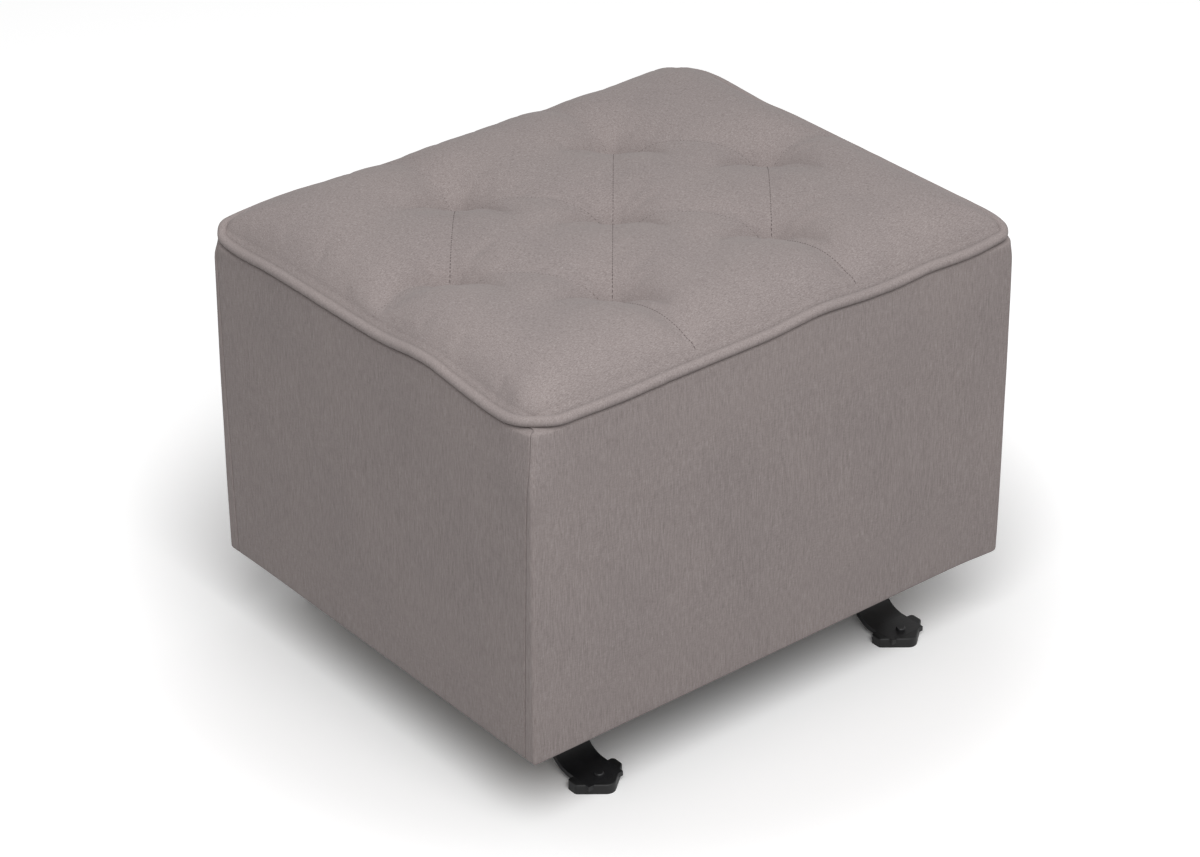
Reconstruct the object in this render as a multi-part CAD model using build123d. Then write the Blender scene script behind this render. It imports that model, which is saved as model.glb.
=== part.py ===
from build123d import *
import os
from math import asin, cos, exp, hypot, pi, radians, sin, tan

# An upholstered box ottoman that glides fore and aft on four hanging links.
# The origin is on the floor under the middle of the ottoman: +X runs along the long
# front face, -Y is the front and +Z is up. Sizes are in millimetres.

# ------------------------------------------------------------ upholstered body
body_width = 565.0
body_depth = 471.0
floor_gap = 75.0
cover_thickness = 1.5
wadding_thickness = 6.0
body_corner_radius = 5.0
top_corner_radius = 30.0  # plan radius of the body where it meets the welt
corner_draw_height = 16.0  # the corner radius opens out over this height, below the welt
hem_width = 30.0
seam_offset = 10.0  # corner seams on the side faces, from the front or rear face

# ------------------------------------------------------------ timber frame
board_thickness = 15.0
post_side = 38.0
cleat_thickness = 38.0
cleat_height = 80.0
deck_thickness = 12.0

# ------------------------------------------------------------ seat
cushion_side_height = 54.0  # from the deck to the top of the side covers
welt_diameter = 9.5
welt_gap = 0.1  # between the welt and the seat's cover
crown_rise = 27.5
puff_rise = 4.0  # of the padding between its seams, above the crown
crown_width = 60.0  # how far in from the edge the crown still rises
crown_power = 4.0  # a higher power gives a flatter crown with a quicker fall at the edges
edge_fullness = 0.3  # share of the crown that is left at the edges
edge_stations = (0.4, 0.73, 0.92, 1.0)  # sections, last tufts (0) to edge (1)
edge_joints = (12.0, 40.0)  # where the sections' outer arcs meet, in from the edge
foam_inset = 0.5  # from the welt's inner side to the foam
tuft_depth = 23.5
tuft_reach = 27.0
tuft_power = 1.26  # a lower power gives a sharper dimple
tuft_column_pitch = 94.0
tuft_row_pitch = 113.0
twine_diameter = 3.0
twine_hole_diameter = 6.0
toggle_diameter = 24.0
toggle_thickness = 3.0

# ------------------------------------------------------------ dust cover and staples
dust_thickness = 1.0
dust_drop = 4.0  # below the deck, clear of the toggles
dust_flap_height = 14.0
staple_crown = 10.0
staple_leg = 7.0
staple_wire = 0.8
staple_pitch = 62.0

# ------------------------------------------------------------ gliding base
runner_width = 40.0
runner_thickness = 5.0
runner_top = 100.0  # height of the middle span's upper face above the floor
runner_slope = 62.0  # degrees
runner_heel_radius = 32.0
runner_shoulder_radius = 30.0
runner_end_flat = 28.0  # flat length of each end
foot_setback = 4.5  # foot tip behind the body's front face
foot_length = 35.0
foot_width = 55.0
foot_thickness = 10.0
foot_point = 22.0  # length of the tapered end
foot_tip_radius = 9.0
foot_corner_radius = 4.0
foot_edge_round = 1.5
foot_nose = 12.0  # plastic left in front of the runner's end
foot_screw_diameter = 5.0
foot_screw_length = 8.0
foot_screw_inset = 10.0  # from the runner's end
plate_thickness = 4.0
plate_width = 224.0
plate_head = 18.0  # plate above the upper pivots
plate_headroom = 30.0  # from the side plates up to the deck
plate_corner_radius = 18.0
flange_width = 24.0
cross_tube_side = 25.0
cross_tube_wall = 2.0
cross_tube_offset = 75.0  # each cross tube's middle from the ottoman's middle
frame_bolt_diameter = 8.0

# ------------------------------------------------------------ hanging links
link_length = 150.0
link_offset = 90.0  # each link from the ottoman's middle, fore and aft
link_width = 28.0
link_thickness = 5.0
swing_limit = 17.0  # degrees each way
lower_pivot_rise = 75.0  # lower pivots above the body's bottom
pivot_bolt_diameter = 10.0
pivot_clearance = 0.06  # radial running clearance
bush_diameter = 16.0
bush_length = 12.0
bush_flange_diameter = 22.0
bush_flange_thickness = 3.5
spacer_length = 8.0
washer_thickness = 2.0
washer_diameter = 20.0
thread_show = 3.0  # bolt end past its nut

# ------------------------------------------------------------ carriage and travel stops
carriage_plate_thickness = 4.0
carriage_plate_height = 50.0
carriage_plate_length = 300.0
carriage_screw_length = 30.0
inner_screw_offset = 45.0  # the carriage's screws, from the ottoman's middle
outer_screw_offset = 130.0
nut_pocket_diameter = 26.0
nut_pocket_depth = 14.0
bumper_diameter = 14.0
bumper_drop = 110.0  # from the upper pivot to the bumper, along the swung link
bumper_gap = 0.3
stop_bolt_diameter = 6.0

# ------------------------------------------------------------ screws
wood_screw_diameter = 4.0
wood_screw_length = 45.0
screw_edge_margin = 34.0  # first and last screw from a board's ends
post_screw_pitch = 90.0
post_screw_inset = 12.5  # from the side of the post that its board lies on
post_screw_stagger = 9.5  # keeps the screws from two boards apart
cleat_screw_reach = 124.0  # first and last screw from the ottoman's middle
cleat_screw_pitch = 120.0
cleat_screw_rise = 26.0  # above the lower pivots
hole_clearance = 0.1  # radial, round bolts and screws in steel

# ------------------------------------------------------------ fasteners' proportions
# Shares of the shank's diameter.
HEX_RATIO = 1.65
HEAD_RATIO = 0.64
NUT_RATIO = 0.8
ROUND_RATIO = 1.8
ROUND_HEIGHT_RATIO = 0.5
CUT = 1.0  # how far a cutting shape reaches past the face it cuts, in millimetres

# ------------------------------------------------------------ levels and planes that follow
frame_bottom = floor_gap + cover_thickness
lower_pivot_height = floor_gap + lower_pivot_rise
upper_pivot_height = lower_pivot_height + link_length
plate_top = upper_pivot_height + plate_head
deck_bottom = plate_top + plate_headroom
deck_top = deck_bottom + deck_thickness
cover_top = deck_top + cushion_side_height
welt_height = cover_top + welt_diameter / 2
seat_ceiling = welt_height + 2 * crown_rise
frame_half_width = body_width / 2 - cover_thickness - wadding_thickness
frame_half_depth = body_depth / 2 - cover_thickness - wadding_thickness
inner_half_width = frame_half_width - board_thickness
inner_half_depth = frame_half_depth - board_thickness
seat_half_width = body_width / 2 - welt_diameter
seat_half_depth = body_depth / 2 - welt_diameter

# Along X, from the right side board inward: cleat, carriage plate, washer, bush, spacer and
# side plate.
carriage_outer = inner_half_width - cleat_thickness
carriage_inner = carriage_outer - carriage_plate_thickness
bush_outer = carriage_inner - washer_thickness
bush_inner = bush_outer - bush_length
link_inner = bush_inner + bush_flange_thickness
plate_outer = bush_inner - spacer_length
plate_inner = plate_outer - plate_thickness
runner_inner = plate_inner - flange_width
runner_middle = runner_inner + runner_width / 2

flange_top = runner_top + plate_thickness
tube_top = flange_top + cross_tube_side
foot_tip = body_depth / 2 - foot_setback
foot_screw_place = foot_tip - foot_nose - foot_screw_inset
foot_screw_bottom = foot_thickness - foot_screw_length
frame_bolt_x = plate_inner - flange_width / 2
upper_nut_end = bush_outer + NUT_RATIO * pivot_bolt_diameter
lower_nut_end = carriage_outer + NUT_RATIO * pivot_bolt_diameter
bolt_radius = pivot_bolt_diameter / 2
bush_bore = bolt_radius + pivot_clearance

# The bumper's place: the swung link's edge stops just short of it.
bumper_side = link_width / 2 + bumper_diameter / 2 + bumper_gap
bumper_angle = radians(swing_limit) + asin(bumper_side / bumper_drop)
bumper_y = link_offset - bumper_drop * sin(bumper_angle)
bumper_height = upper_pivot_height - bumper_drop * cos(bumper_angle)

# Seven tufts in columns of two, three and two.
tufts = [
    (column * tuft_column_pitch, row * tuft_row_pitch)
    for column in (-2, -1, 0, 1, 2)
    for row in (-1, 0, 1)
    if (column + row) % 2 == 0
]


# ------------------------------------------------------------ helpers
def block(x0, x1, y0, y1, z0, z1):
    """A box between two corners."""
    size = (x1 - x0, y1 - y0, z1 - z0)
    middle = ((x0 + x1) / 2, (y0 + y1) / 2, (z0 + z1) / 2)
    return Pos(*middle) * Box(*size)


def along_x(sketch, x0, x1, y=0.0, z=0.0):
    """A sketch drawn with Y and Z as its axes, extruded along X."""
    plane = Plane(origin=(x0, y, z), x_dir=(0, 1, 0), z_dir=(1, 0, 0))
    return extrude(plane * sketch, x1 - x0)


def along_y(sketch, y0, y1, x=0.0, z=0.0):
    """A sketch extruded towards +Y."""
    plane = Plane(origin=(x, y0, z), x_dir=(-1, 0, 0), z_dir=(0, 1, 0))
    return extrude(plane * sketch, y1 - y0)


def along_z(sketch, z0, z1, x=0.0, y=0.0):
    """A sketch extruded upwards."""
    return extrude(Pos(x, y, z0) * sketch, z1 - z0)


def hexagon(across_flats):
    return RegularPolygon(across_flats / 2, 6, major_radius=False)


def left_of(solid):
    """The same piece on the ottoman's left side."""
    return mirror(solid, about=Plane.YZ)


def both_sides(solids):
    """A group of separate solids on the right side and their mirror images on the left."""
    return Compound(children=list(solids) + [left_of(solid) for solid in solids])


def group(solids):
    return Compound(children=list(solids))


def spread(low, high, pitch):
    """Evenly spaced places from low to high, about one pitch apart."""
    count = max(1, round((high - low) / pitch))
    return [low + (high - low) * i / count for i in range(count + 1)]


def rounded_block(half_width, half_depth, radius, z0, z1):
    return along_z(RectangleRounded(2 * half_width, 2 * half_depth, radius), z0, z1)


# ------------------------------------------------------------ runners and feet
def offset_corners(points, shift):
    """The corners of a line moved sideways by shift, to its left."""
    moved = []
    for i, (y, z) in enumerate(points):
        before = points[max(i - 1, 0)]
        after = points[min(i + 1, len(points) - 1)]
        normals = []
        for (y0, z0), (y1, z1) in ((before, (y, z)), ((y, z), after)):
            length = hypot(y1 - y0, z1 - z0)
            if length > 0:
                normals.append((-(z1 - z0) / length, (y1 - y0) / length))
        first, last = normals[0], normals[-1]
        scale = shift / (1 + first[0] * last[0] + first[1] * last[1])
        moved.append((y + scale * (first[0] + last[0]), z + scale * (first[1] + last[1])))
    return moved


def make_runner():
    """An arched steel strap with flat ends, right side."""
    heel = foot_thickness - runner_thickness / 2
    crest = runner_top - runner_thickness / 2
    end = foot_tip - foot_nose
    toe = end - runner_end_flat - runner_heel_radius * tan(radians(runner_slope) / 2)
    shoulder = toe - (crest - heel) / tan(radians(runner_slope))
    rear_half = [(shoulder, crest), (toe, heel), (end, heel)]
    middle_line = [(-y, z) for y, z in reversed(rear_half)] + rear_half
    half = runner_thickness / 2
    upper = offset_corners(middle_line, half)
    lower = offset_corners(middle_line, -half)
    upper_radii = [runner_heel_radius - half, runner_shoulder_radius + half]
    lower_radii = [runner_heel_radius + half, runner_shoulder_radius - half]
    top_line = FilletPolyline(*upper, radius=upper_radii + upper_radii[::-1])
    bottom_line = FilletPolyline(*lower, radius=lower_radii + lower_radii[::-1])
    front_end = Line(upper[0], lower[0])
    rear_end = Line(upper[-1], lower[-1])
    ends = front_end.edges() + rear_end.edges()
    outline = make_face(top_line.edges() + bottom_line.edges() + ends)
    strap = along_x(outline, runner_inner, runner_inner + runner_width)
    bolt_hole = Circle(frame_bolt_diameter / 2 + hole_clearance)
    screw_hole = Circle(foot_screw_diameter / 2)
    for side in (-1, 1):
        strap -= along_z(bolt_hole, 0, runner_top + CUT, frame_bolt_x, side * cross_tube_offset)
        screw_y = side * foot_screw_place
        strap -= along_z(screw_hole, 0, foot_thickness + CUT, runner_middle, screw_y)
    return strap


def make_foot():
    """The moulded foot under the runner's front end, right side, with its point to the front."""
    half = foot_width / 2
    back = -foot_tip + foot_length
    point = -foot_tip + foot_point
    corners = [(-half, back), (-half, point), (0, -foot_tip), (half, point), (half, back)]
    outline = Polygon(*corners, align=None)
    tip = outline.vertices().sort_by(Axis.Y)[0]
    outline = fillet(tip, foot_tip_radius)
    outline = fillet(outline.vertices().sort_by(Axis.Y)[2:], foot_corner_radius)
    pad = along_z(outline, 0, foot_thickness, runner_middle)
    pad = fillet(pad.edges().filter_by(Plane.XY).group_by(Axis.Z)[-1], foot_edge_round)
    pocket = block(
        runner_inner - hole_clearance,
        runner_inner + runner_width + hole_clearance,
        -foot_tip + foot_nose - hole_clearance,
        back + CUT,
        foot_thickness - runner_thickness,
        foot_thickness + CUT,
    )
    hole = Circle(foot_screw_diameter / 2)
    pad -= along_z(hole, foot_screw_bottom, foot_thickness, runner_middle, -foot_screw_place)
    return pad - pocket


def make_foot_screw(y):
    """A round-headed screw that holds the runner's end in its foot."""
    head = ROUND_HEIGHT_RATIO * foot_screw_diameter
    shank = Circle(foot_screw_diameter / 2)
    disc = Circle(ROUND_RATIO * foot_screw_diameter / 2)
    cap = along_z(disc, foot_thickness, foot_thickness + head, runner_middle, y)
    cap = chamfer(cap.edges().group_by(Axis.Z)[-1], head / 3)
    return cap + along_z(shank, foot_screw_bottom, foot_thickness, runner_middle, y)


# ------------------------------------------------------------ side plates and cross tubes
def make_side_plate():
    """A stamped plate with a folded foot that stands on the runner: it carries the upper pivots."""
    height = plate_top - runner_top
    outline = Rectangle(plate_width, height)
    outline = fillet(outline.vertices().group_by(Axis.Y)[-1], plate_corner_radius)
    wall = along_x(outline, plate_inner, plate_outer, 0, runner_top + height / 2)
    half = plate_width / 2
    plate = wall + block(runner_inner, plate_inner, -half, half, runner_top, flange_top)
    pivot = Circle(bolt_radius + hole_clearance)
    stop = Circle(stop_bolt_diameter / 2)
    bolt = Circle(frame_bolt_diameter / 2 + hole_clearance)
    for side in (-1, 1):
        plate -= along_x(pivot, plate_inner, plate_outer, side * link_offset, upper_pivot_height)
        plate -= along_x(stop, plate_inner, plate_outer, side * bumper_y, bumper_height)
        plate -= along_z(bolt, runner_top, flange_top, frame_bolt_x, side * cross_tube_offset)
    return plate


def make_cross_tube(y):
    """A square tube between the two side plates, resting on their folded feet."""
    section = Rectangle(cross_tube_side, cross_tube_side)
    bore = Rectangle(cross_tube_side - 2 * cross_tube_wall, cross_tube_side - 2 * cross_tube_wall)
    tube = along_x(section - bore, -plate_inner, plate_inner, y, flange_top + cross_tube_side / 2)
    hole = Circle(frame_bolt_diameter / 2 + hole_clearance)
    return tube - [along_z(hole, flange_top, tube_top, x, y) for x in (-frame_bolt_x, frame_bolt_x)]


def make_frame_bolt(y):
    """A hexagon bolt down through the cross tube, the side plate's foot and the runner."""
    nut_height = NUT_RATIO * frame_bolt_diameter
    bottom = runner_top - runner_thickness - nut_height - thread_show
    head = hexagon(HEX_RATIO * frame_bolt_diameter)
    head_top = tube_top + HEAD_RATIO * frame_bolt_diameter
    shank = along_z(Circle(frame_bolt_diameter / 2), bottom, tube_top, frame_bolt_x, y)
    return shank + along_z(head, tube_top, head_top, frame_bolt_x, y)


def make_frame_nut(y):
    top = runner_top - runner_thickness
    profile = hexagon(HEX_RATIO * frame_bolt_diameter) - Circle(frame_bolt_diameter / 2)
    return along_z(profile, top - NUT_RATIO * frame_bolt_diameter, top, frame_bolt_x, y)


# ------------------------------------------------------------ upper pivots and travel stops
def make_upper_bolt(y):
    head = HEAD_RATIO * pivot_bolt_diameter
    end = upper_nut_end + thread_show
    shank = along_x(Circle(bolt_radius), plate_inner, end, y, upper_pivot_height)
    cap = hexagon(HEX_RATIO * pivot_bolt_diameter)
    return shank + along_x(cap, plate_inner - head, plate_inner, y, upper_pivot_height)


def make_upper_spacer(y):
    profile = Circle(bush_flange_diameter / 2) - Circle(bush_bore)
    return along_x(profile, plate_outer, bush_inner, y, upper_pivot_height)


def make_upper_nut(y):
    """A flanged nut, whose flange bears on the bush."""
    bore = Circle(bolt_radius)
    flange = Circle(washer_diameter / 2) - bore
    body = hexagon(HEX_RATIO * pivot_bolt_diameter) - bore
    flange_end = bush_outer + washer_thickness
    nut = along_x(flange, bush_outer, flange_end, y, upper_pivot_height)
    return nut + along_x(body, flange_end, upper_nut_end, y, upper_pivot_height)


def make_bumper(y):
    """A rubber sleeve that the link's edge meets at the end of its swing."""
    profile = Circle(bumper_diameter / 2) - Circle(stop_bolt_diameter / 2)
    return along_x(profile, plate_outer, bush_outer - washer_thickness, y, bumper_height)


def make_stop_bolt(y):
    head_inner = bush_outer - washer_thickness
    shank = along_x(Circle(stop_bolt_diameter / 2), plate_inner, head_inner, y, bumper_height)
    head = Circle(ROUND_RATIO * stop_bolt_diameter / 2)
    head_outer = head_inner + ROUND_HEIGHT_RATIO * stop_bolt_diameter
    return shank + along_x(head, head_inner, head_outer, y, bumper_height)


# ------------------------------------------------------------ links
def make_link(y):
    """A flat steel link with a seat for a bush at each end."""
    strap = Rectangle(link_width, link_length) + [
        Pos(0, end) * Circle(link_width / 2) for end in (-link_length / 2, link_length / 2)
    ]
    seats = [Pos(0, end) * Circle(bush_diameter / 2) for end in (-link_length / 2, link_length / 2)]
    middle = (lower_pivot_height + upper_pivot_height) / 2
    return along_x(strap - seats, link_inner, link_inner + link_thickness, y, middle)


def make_bushes(y):
    """The flanged bushes at a link's two ends."""
    sleeve = Circle(bush_diameter / 2) - Circle(bush_bore)
    flange = Circle(bush_flange_diameter / 2) - Circle(bush_bore)
    bushes = []
    for z in (lower_pivot_height, upper_pivot_height):
        bush = along_x(sleeve, link_inner, bush_outer, y, z)
        bushes.append(bush + along_x(flange, bush_inner, link_inner, y, z))
    return bushes


# ------------------------------------------------------------ carriage and lower pivots
def make_carriage_plate():
    """A steel plate on the cleat, which the lower pivot bolts pass through."""
    plate = RectangleRounded(carriage_plate_length, carriage_plate_height, plate_thickness)
    pivot = Circle(bolt_radius + hole_clearance)
    screw = Circle(wood_screw_diameter / 2 + hole_clearance)
    for side in (-1, 1):
        plate -= Pos(side * link_offset, 0) * pivot
        plate -= [Pos(side * y, 0) * screw for y in (inner_screw_offset, outer_screw_offset)]
    return along_x(plate, carriage_inner, carriage_outer, 0, lower_pivot_height)


def make_carriage_screw(y):
    head_height = ROUND_HEIGHT_RATIO * wood_screw_diameter
    head = Circle(ROUND_RATIO * wood_screw_diameter / 2)
    cap = along_x(head, carriage_inner - head_height, carriage_inner, y, lower_pivot_height)
    shank = Circle(wood_screw_diameter / 2)
    shank_end = carriage_inner + carriage_screw_length
    return cap + along_x(shank, carriage_inner, shank_end, y, lower_pivot_height)


def make_carriage_screws():
    places = [side * y for side in (-1, 1) for y in (inner_screw_offset, outer_screw_offset)]
    return both_sides([make_carriage_screw(y) for y in places])


def make_lower_bolt(y):
    """A low-headed bolt: its head runs between the link and the side plate."""
    head = Circle(bush_diameter / 2)
    cap = along_x(head, bush_inner - bush_flange_thickness, bush_inner, y, lower_pivot_height)
    end = lower_nut_end + thread_show
    return cap + along_x(Circle(bolt_radius), bush_inner, end, y, lower_pivot_height)


def make_lower_washer(y):
    profile = Circle(washer_diameter / 2) - Circle(bush_bore)
    return along_x(profile, bush_outer, carriage_inner, y, lower_pivot_height)


def make_lower_nut(y):
    profile = hexagon(HEX_RATIO * pivot_bolt_diameter) - Circle(bolt_radius)
    return along_x(profile, carriage_outer, lower_nut_end, y, lower_pivot_height)


def make_cleat():
    """The timber cleat on the side board, with pockets for the lower pivots' nuts."""
    reach = inner_half_depth - post_side
    low = lower_pivot_height - cleat_height / 2
    cleat = block(carriage_outer, inner_half_width, -reach, reach, low, low + cleat_height)
    pocket = Circle(nut_pocket_diameter / 2)
    pocket_floor = carriage_outer + nut_pocket_depth
    for y in (-link_offset, link_offset):
        cleat -= along_x(pocket, carriage_outer, pocket_floor, y, lower_pivot_height)
    return cleat


# ------------------------------------------------------------ timber frame
def make_post():
    """The front right corner post."""
    x = inner_half_width
    y = -inner_half_depth
    return block(x - post_side, x, y, y + post_side, frame_bottom, deck_bottom)


def make_front_board():
    x = frame_half_width
    return block(-x, x, -frame_half_depth, -inner_half_depth, frame_bottom, deck_bottom)


def make_side_board():
    """The right side board, between the front and rear boards."""
    y = inner_half_depth
    return block(inner_half_width, frame_half_width, -y, y, frame_bottom, deck_bottom)


def make_deck():
    board = along_z(Rectangle(2 * frame_half_width, 2 * frame_half_depth), deck_bottom, deck_top)
    hole = Circle(twine_hole_diameter / 2)
    return board - [along_z(hole, deck_bottom, deck_top, x, y) for x, y in tufts]


def wood_screw():
    """A countersunk screw along +Z, with its head's face at the origin."""
    radius = wood_screw_diameter / 2
    head = radius * ROUND_RATIO
    point_start = wood_screw_length - head
    corners = [(0, 0), (head, 0), (radius, head), (radius, point_start), (0, wood_screw_length)]
    return revolve(Plane.XZ * Polygon(*corners, align=None), Axis.Z)


def make_frame_screws():
    """Wood screws that join the boards to the posts and cleats, and the deck to the posts."""
    lowest = frame_bottom + screw_edge_margin
    highest = deck_bottom - screw_edge_margin
    corner_x = inner_half_width - post_screw_inset
    corner_y = inner_half_depth - post_screw_inset
    inward = Rot(0, -90, 0)
    downward = Rot(180, 0, 0)
    right = []
    for side in (-1, 1):
        into_post = Rot(90 * side, 0, 0)
        for z in spread(lowest, highest, post_screw_pitch):
            right.append(Pos(corner_x, side * frame_half_depth, z) * into_post * wood_screw())
            staggered = z + post_screw_stagger
            right.append(Pos(frame_half_width, side * corner_y, staggered) * inward * wood_screw())
        deck_x = corner_x - post_screw_stagger
        deck_y = side * (corner_y - post_screw_stagger)
        right.append(Pos(deck_x, deck_y, deck_top) * downward * wood_screw())
    cleat_screw_height = lower_pivot_height + cleat_screw_rise
    for y in spread(-cleat_screw_reach, cleat_screw_reach, cleat_screw_pitch):
        right.append(Pos(frame_half_width, y, cleat_screw_height) * inward * wood_screw())
    return both_sides(right)


# ------------------------------------------------------------ seat
def seat_height(x, y):
    """Height of the seat foam: a crown that falls to the welt and is drawn down at each tuft,
    with a puff in each diamond between the seams."""
    margin = min(seat_half_width - abs(x), seat_half_depth - abs(y))
    share = max(0.0, 1 - margin / crown_width)
    fullness = 1 - (1 - edge_fullness) * share**crown_power
    across = x / tuft_column_pitch
    along = y / tuft_row_pitch
    puff = puff_rise * abs(sin(pi / 2 * (across + along)) * sin(pi / 2 * (across - along)))
    reaches = [hypot(x - tx, y - ty) / tuft_reach for tx, ty in tufts]
    dip = tuft_depth * sum(exp(-(reach**tuft_power)) for reach in reaches)
    return welt_height - cover_thickness + fullness * (crown_rise + puff) - dip


def seat_section(x, bottom):
    """The seat's outline at one place along X: a floor, two sides and arcs on top."""
    half = [-seat_half_depth] + [reach - seat_half_depth for reach in edge_joints]
    half.append(-tuft_row_pitch)
    joints = half + [0.0] + [-y for y in reversed(half)]
    lift = bottom - deck_top
    edges = []
    for y0, y1 in zip(joints, joints[1:]):
        points = [(y, seat_height(x, y) + lift) for y in (y0, (y0 + y1) / 2, y1)]
        edges.append(ThreePointArc(*points))
    low, high = joints[0], joints[-1]
    corners = [
        (low, seat_height(x, low) + lift),
        (low, bottom),
        (high, bottom),
        (high, seat_height(x, high) + lift),
    ]
    sides = [Line(a, b) for a, b in zip(corners, corners[1:])]
    outline = make_face(edges + sides)
    return Plane(origin=(x, 0, 0), x_dir=(0, 1, 0), z_dir=(1, 0, 0)) * outline


def make_seat_form(bottom):
    """The crowned and tufted form of the seat, standing on the given level."""
    last_column = 2 * tuft_column_pitch
    edge = seat_half_width - last_column
    half = spread(tuft_column_pitch / 2, last_column, tuft_column_pitch / 2)
    half += [last_column + edge * share for share in edge_stations]
    places = [-x for x in reversed(half)] + [0.0] + half
    return loft([seat_section(x, bottom) for x in places])


def seat_plan(inset, bottom, top):
    """The seat's plan outline, drawn in from the welt's inner side."""
    radius = top_corner_radius - welt_diameter - inset
    return rounded_block(seat_half_width - inset, seat_half_depth - inset, radius, bottom, top)


def make_seat_foam():
    return make_seat_form(deck_top) & seat_plan(foam_inset, deck_top, seat_ceiling)


def make_top_cover():
    """The cloth over the foam, up to the welt."""
    bottom = deck_top + cover_thickness
    raised = make_seat_form(bottom) & seat_plan(welt_gap, bottom, seat_ceiling)
    return raised - make_seat_form(deck_top)


def make_welt():
    """The covered cord round the seat, on the top edge of the side covers."""
    radius = welt_diameter / 2
    half_width = body_width / 2 - radius
    half_depth = body_depth / 2 - radius
    outline = RectangleRounded(2 * half_width, 2 * half_depth, top_corner_radius - radius)
    path = (Pos(0, 0, welt_height) * outline).face().outer_wire()
    start = path @ 0
    section = Plane(origin=start, z_dir=path % 0) * Circle(radius)
    return sweep(section, path=path)


def make_twine(x, y):
    """A tuft's twine, from the cover down through the foam and deck to its toggle."""
    top = seat_height(x, y) + cover_thickness
    return along_z(Circle(twine_diameter / 2), deck_bottom - toggle_thickness, top, x, y)


def make_toggle(x, y):
    profile = Circle(toggle_diameter / 2) - Circle(twine_diameter / 2)
    return along_z(profile, deck_bottom - toggle_thickness, deck_bottom, x, y)


# ------------------------------------------------------------ covers and wadding
def body_form(inset):
    """The box that the covers make, drawn in by inset: its corners open out below the welt."""
    half_width = body_width / 2 - inset
    half_depth = body_depth / 2 - inset
    draw_start = cover_top - corner_draw_height
    bottom = floor_gap + inset
    lower = rounded_block(half_width, half_depth, body_corner_radius - inset, bottom, draw_start)
    sections = [
        Pos(0, 0, z) * RectangleRounded(2 * half_width, 2 * half_depth, radius - inset)
        for z, radius in ((draw_start, body_corner_radius), (cover_top, top_corner_radius))
    ]
    return lower + loft(sections, ruled=True)


def front_region(y):
    """Everything in front of the plane at -y."""
    return block(-body_width, body_width, -body_depth, -y, 0, 2 * cover_top)


def right_region(x, y):
    """Everything to the right of x, between the planes at -y and y."""
    return block(x, body_width, -y, y, 0, 2 * cover_top)


def make_covers():
    """The front and right side covers, with hems turned under the boards."""
    opening = block(
        -body_width / 2 + hem_width,
        body_width / 2 - hem_width,
        -body_depth / 2 + hem_width,
        body_depth / 2 - hem_width,
        0,
        frame_bottom,
    )
    shell = body_form(0.0) - body_form(cover_thickness) - opening
    right = shell & right_region(body_width / 2 - hem_width, body_depth / 2 - seam_offset)
    front = (shell & front_region(0)) - right - left_of(right)
    return front, right


def make_wadding():
    """The front and right side layers of wadding, between the covers and the frame and foam."""
    frame = along_z(Rectangle(2 * frame_half_width, 2 * frame_half_depth), 0, deck_top)
    layer = body_form(cover_thickness) - frame - seat_plan(foam_inset, deck_top, cover_top)
    right = layer & right_region(frame_half_width - top_corner_radius, frame_half_depth)
    front = (layer & front_region(0)) - right - left_of(right)
    return front, right


def make_dust_cover():
    """A thin cloth under the deck, its edges turned down and stapled to the boards."""
    top = deck_bottom - dust_drop
    bottom = top - dust_flap_height
    width = 2 * inner_half_width
    depth = 2 * inner_half_depth
    outer = Rectangle(width, depth)
    inner = Rectangle(width - 2 * dust_thickness, depth - 2 * dust_thickness)
    tray = along_z(outer, bottom, top) - along_z(inner, bottom, top - dust_thickness)
    reach_x = inner_half_width - post_side
    reach_y = inner_half_depth - post_side
    corner = block(reach_x, inner_half_width, reach_y, inner_half_depth, bottom, top)
    rear_corners = [corner, left_of(corner)]
    return tray - rear_corners - [mirror(solid, about=Plane.XZ) for solid in rear_corners]


def staple():
    """A staple whose crown lies along X and whose legs point to +Z."""
    half = staple_crown / 2
    crown = block(-half, half, -staple_wire / 2, staple_wire / 2, -staple_wire, 0)
    leg = block(half - staple_wire, half, -staple_wire / 2, staple_wire / 2, 0, staple_leg)
    return crown + leg + left_of(leg)


def make_staples():
    """Staples up through the hems, and outward through the dust cover's flaps."""
    reach_x = inner_half_width - post_side - staple_crown
    reach_y = inner_half_depth - post_side - staple_crown
    hem_x = frame_half_width - board_thickness / 2
    hem_y = frame_half_depth - board_thickness / 2
    flap_x = inner_half_width - dust_thickness
    flap_y = inner_half_depth - dust_thickness
    flap_z = deck_bottom - dust_drop - dust_flap_height / 2
    turned = Rot(0, 0, 90)
    solids = []
    for side in (-1, 1):
        for x in spread(-reach_x, reach_x, staple_pitch):
            solids.append(Pos(x, side * hem_y, floor_gap) * staple())
            solids.append(Pos(x, side * flap_y, flap_z) * Rot(-90 * side, 0, 0) * staple())
        for y in spread(-reach_y, reach_y, staple_pitch):
            solids.append(Pos(side * hem_x, y, floor_gap) * turned * staple())
            solids.append(Pos(side * flap_x, y, flap_z) * Rot(0, 90 * side, 0) * turned * staple())
    return group(solids)


# ------------------------------------------------------------ all nodes
def four_ways(name, front_right):
    """A piece at each corner, mirrored from the front right one."""
    rear_right = mirror(front_right, about=Plane.XZ)
    return {
        f"front_right_{name}": front_right,
        f"front_left_{name}": left_of(front_right),
        f"rear_right_{name}": rear_right,
        f"rear_left_{name}": left_of(rear_right),
    }


def two_sides(name, right):
    return {f"right_{name}": right, f"left_{name}": left_of(right)}


def front_and_rear(name, front):
    return {f"front_{name}": front, f"rear_{name}": mirror(front, about=Plane.XZ)}


def pivot_group(make, offset):
    """A piece at the front and the rear of both sides."""
    return both_sides([make(-offset), make(offset)])


front_cover, right_cover = make_covers()
front_wadding, right_wadding = make_wadding()

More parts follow.
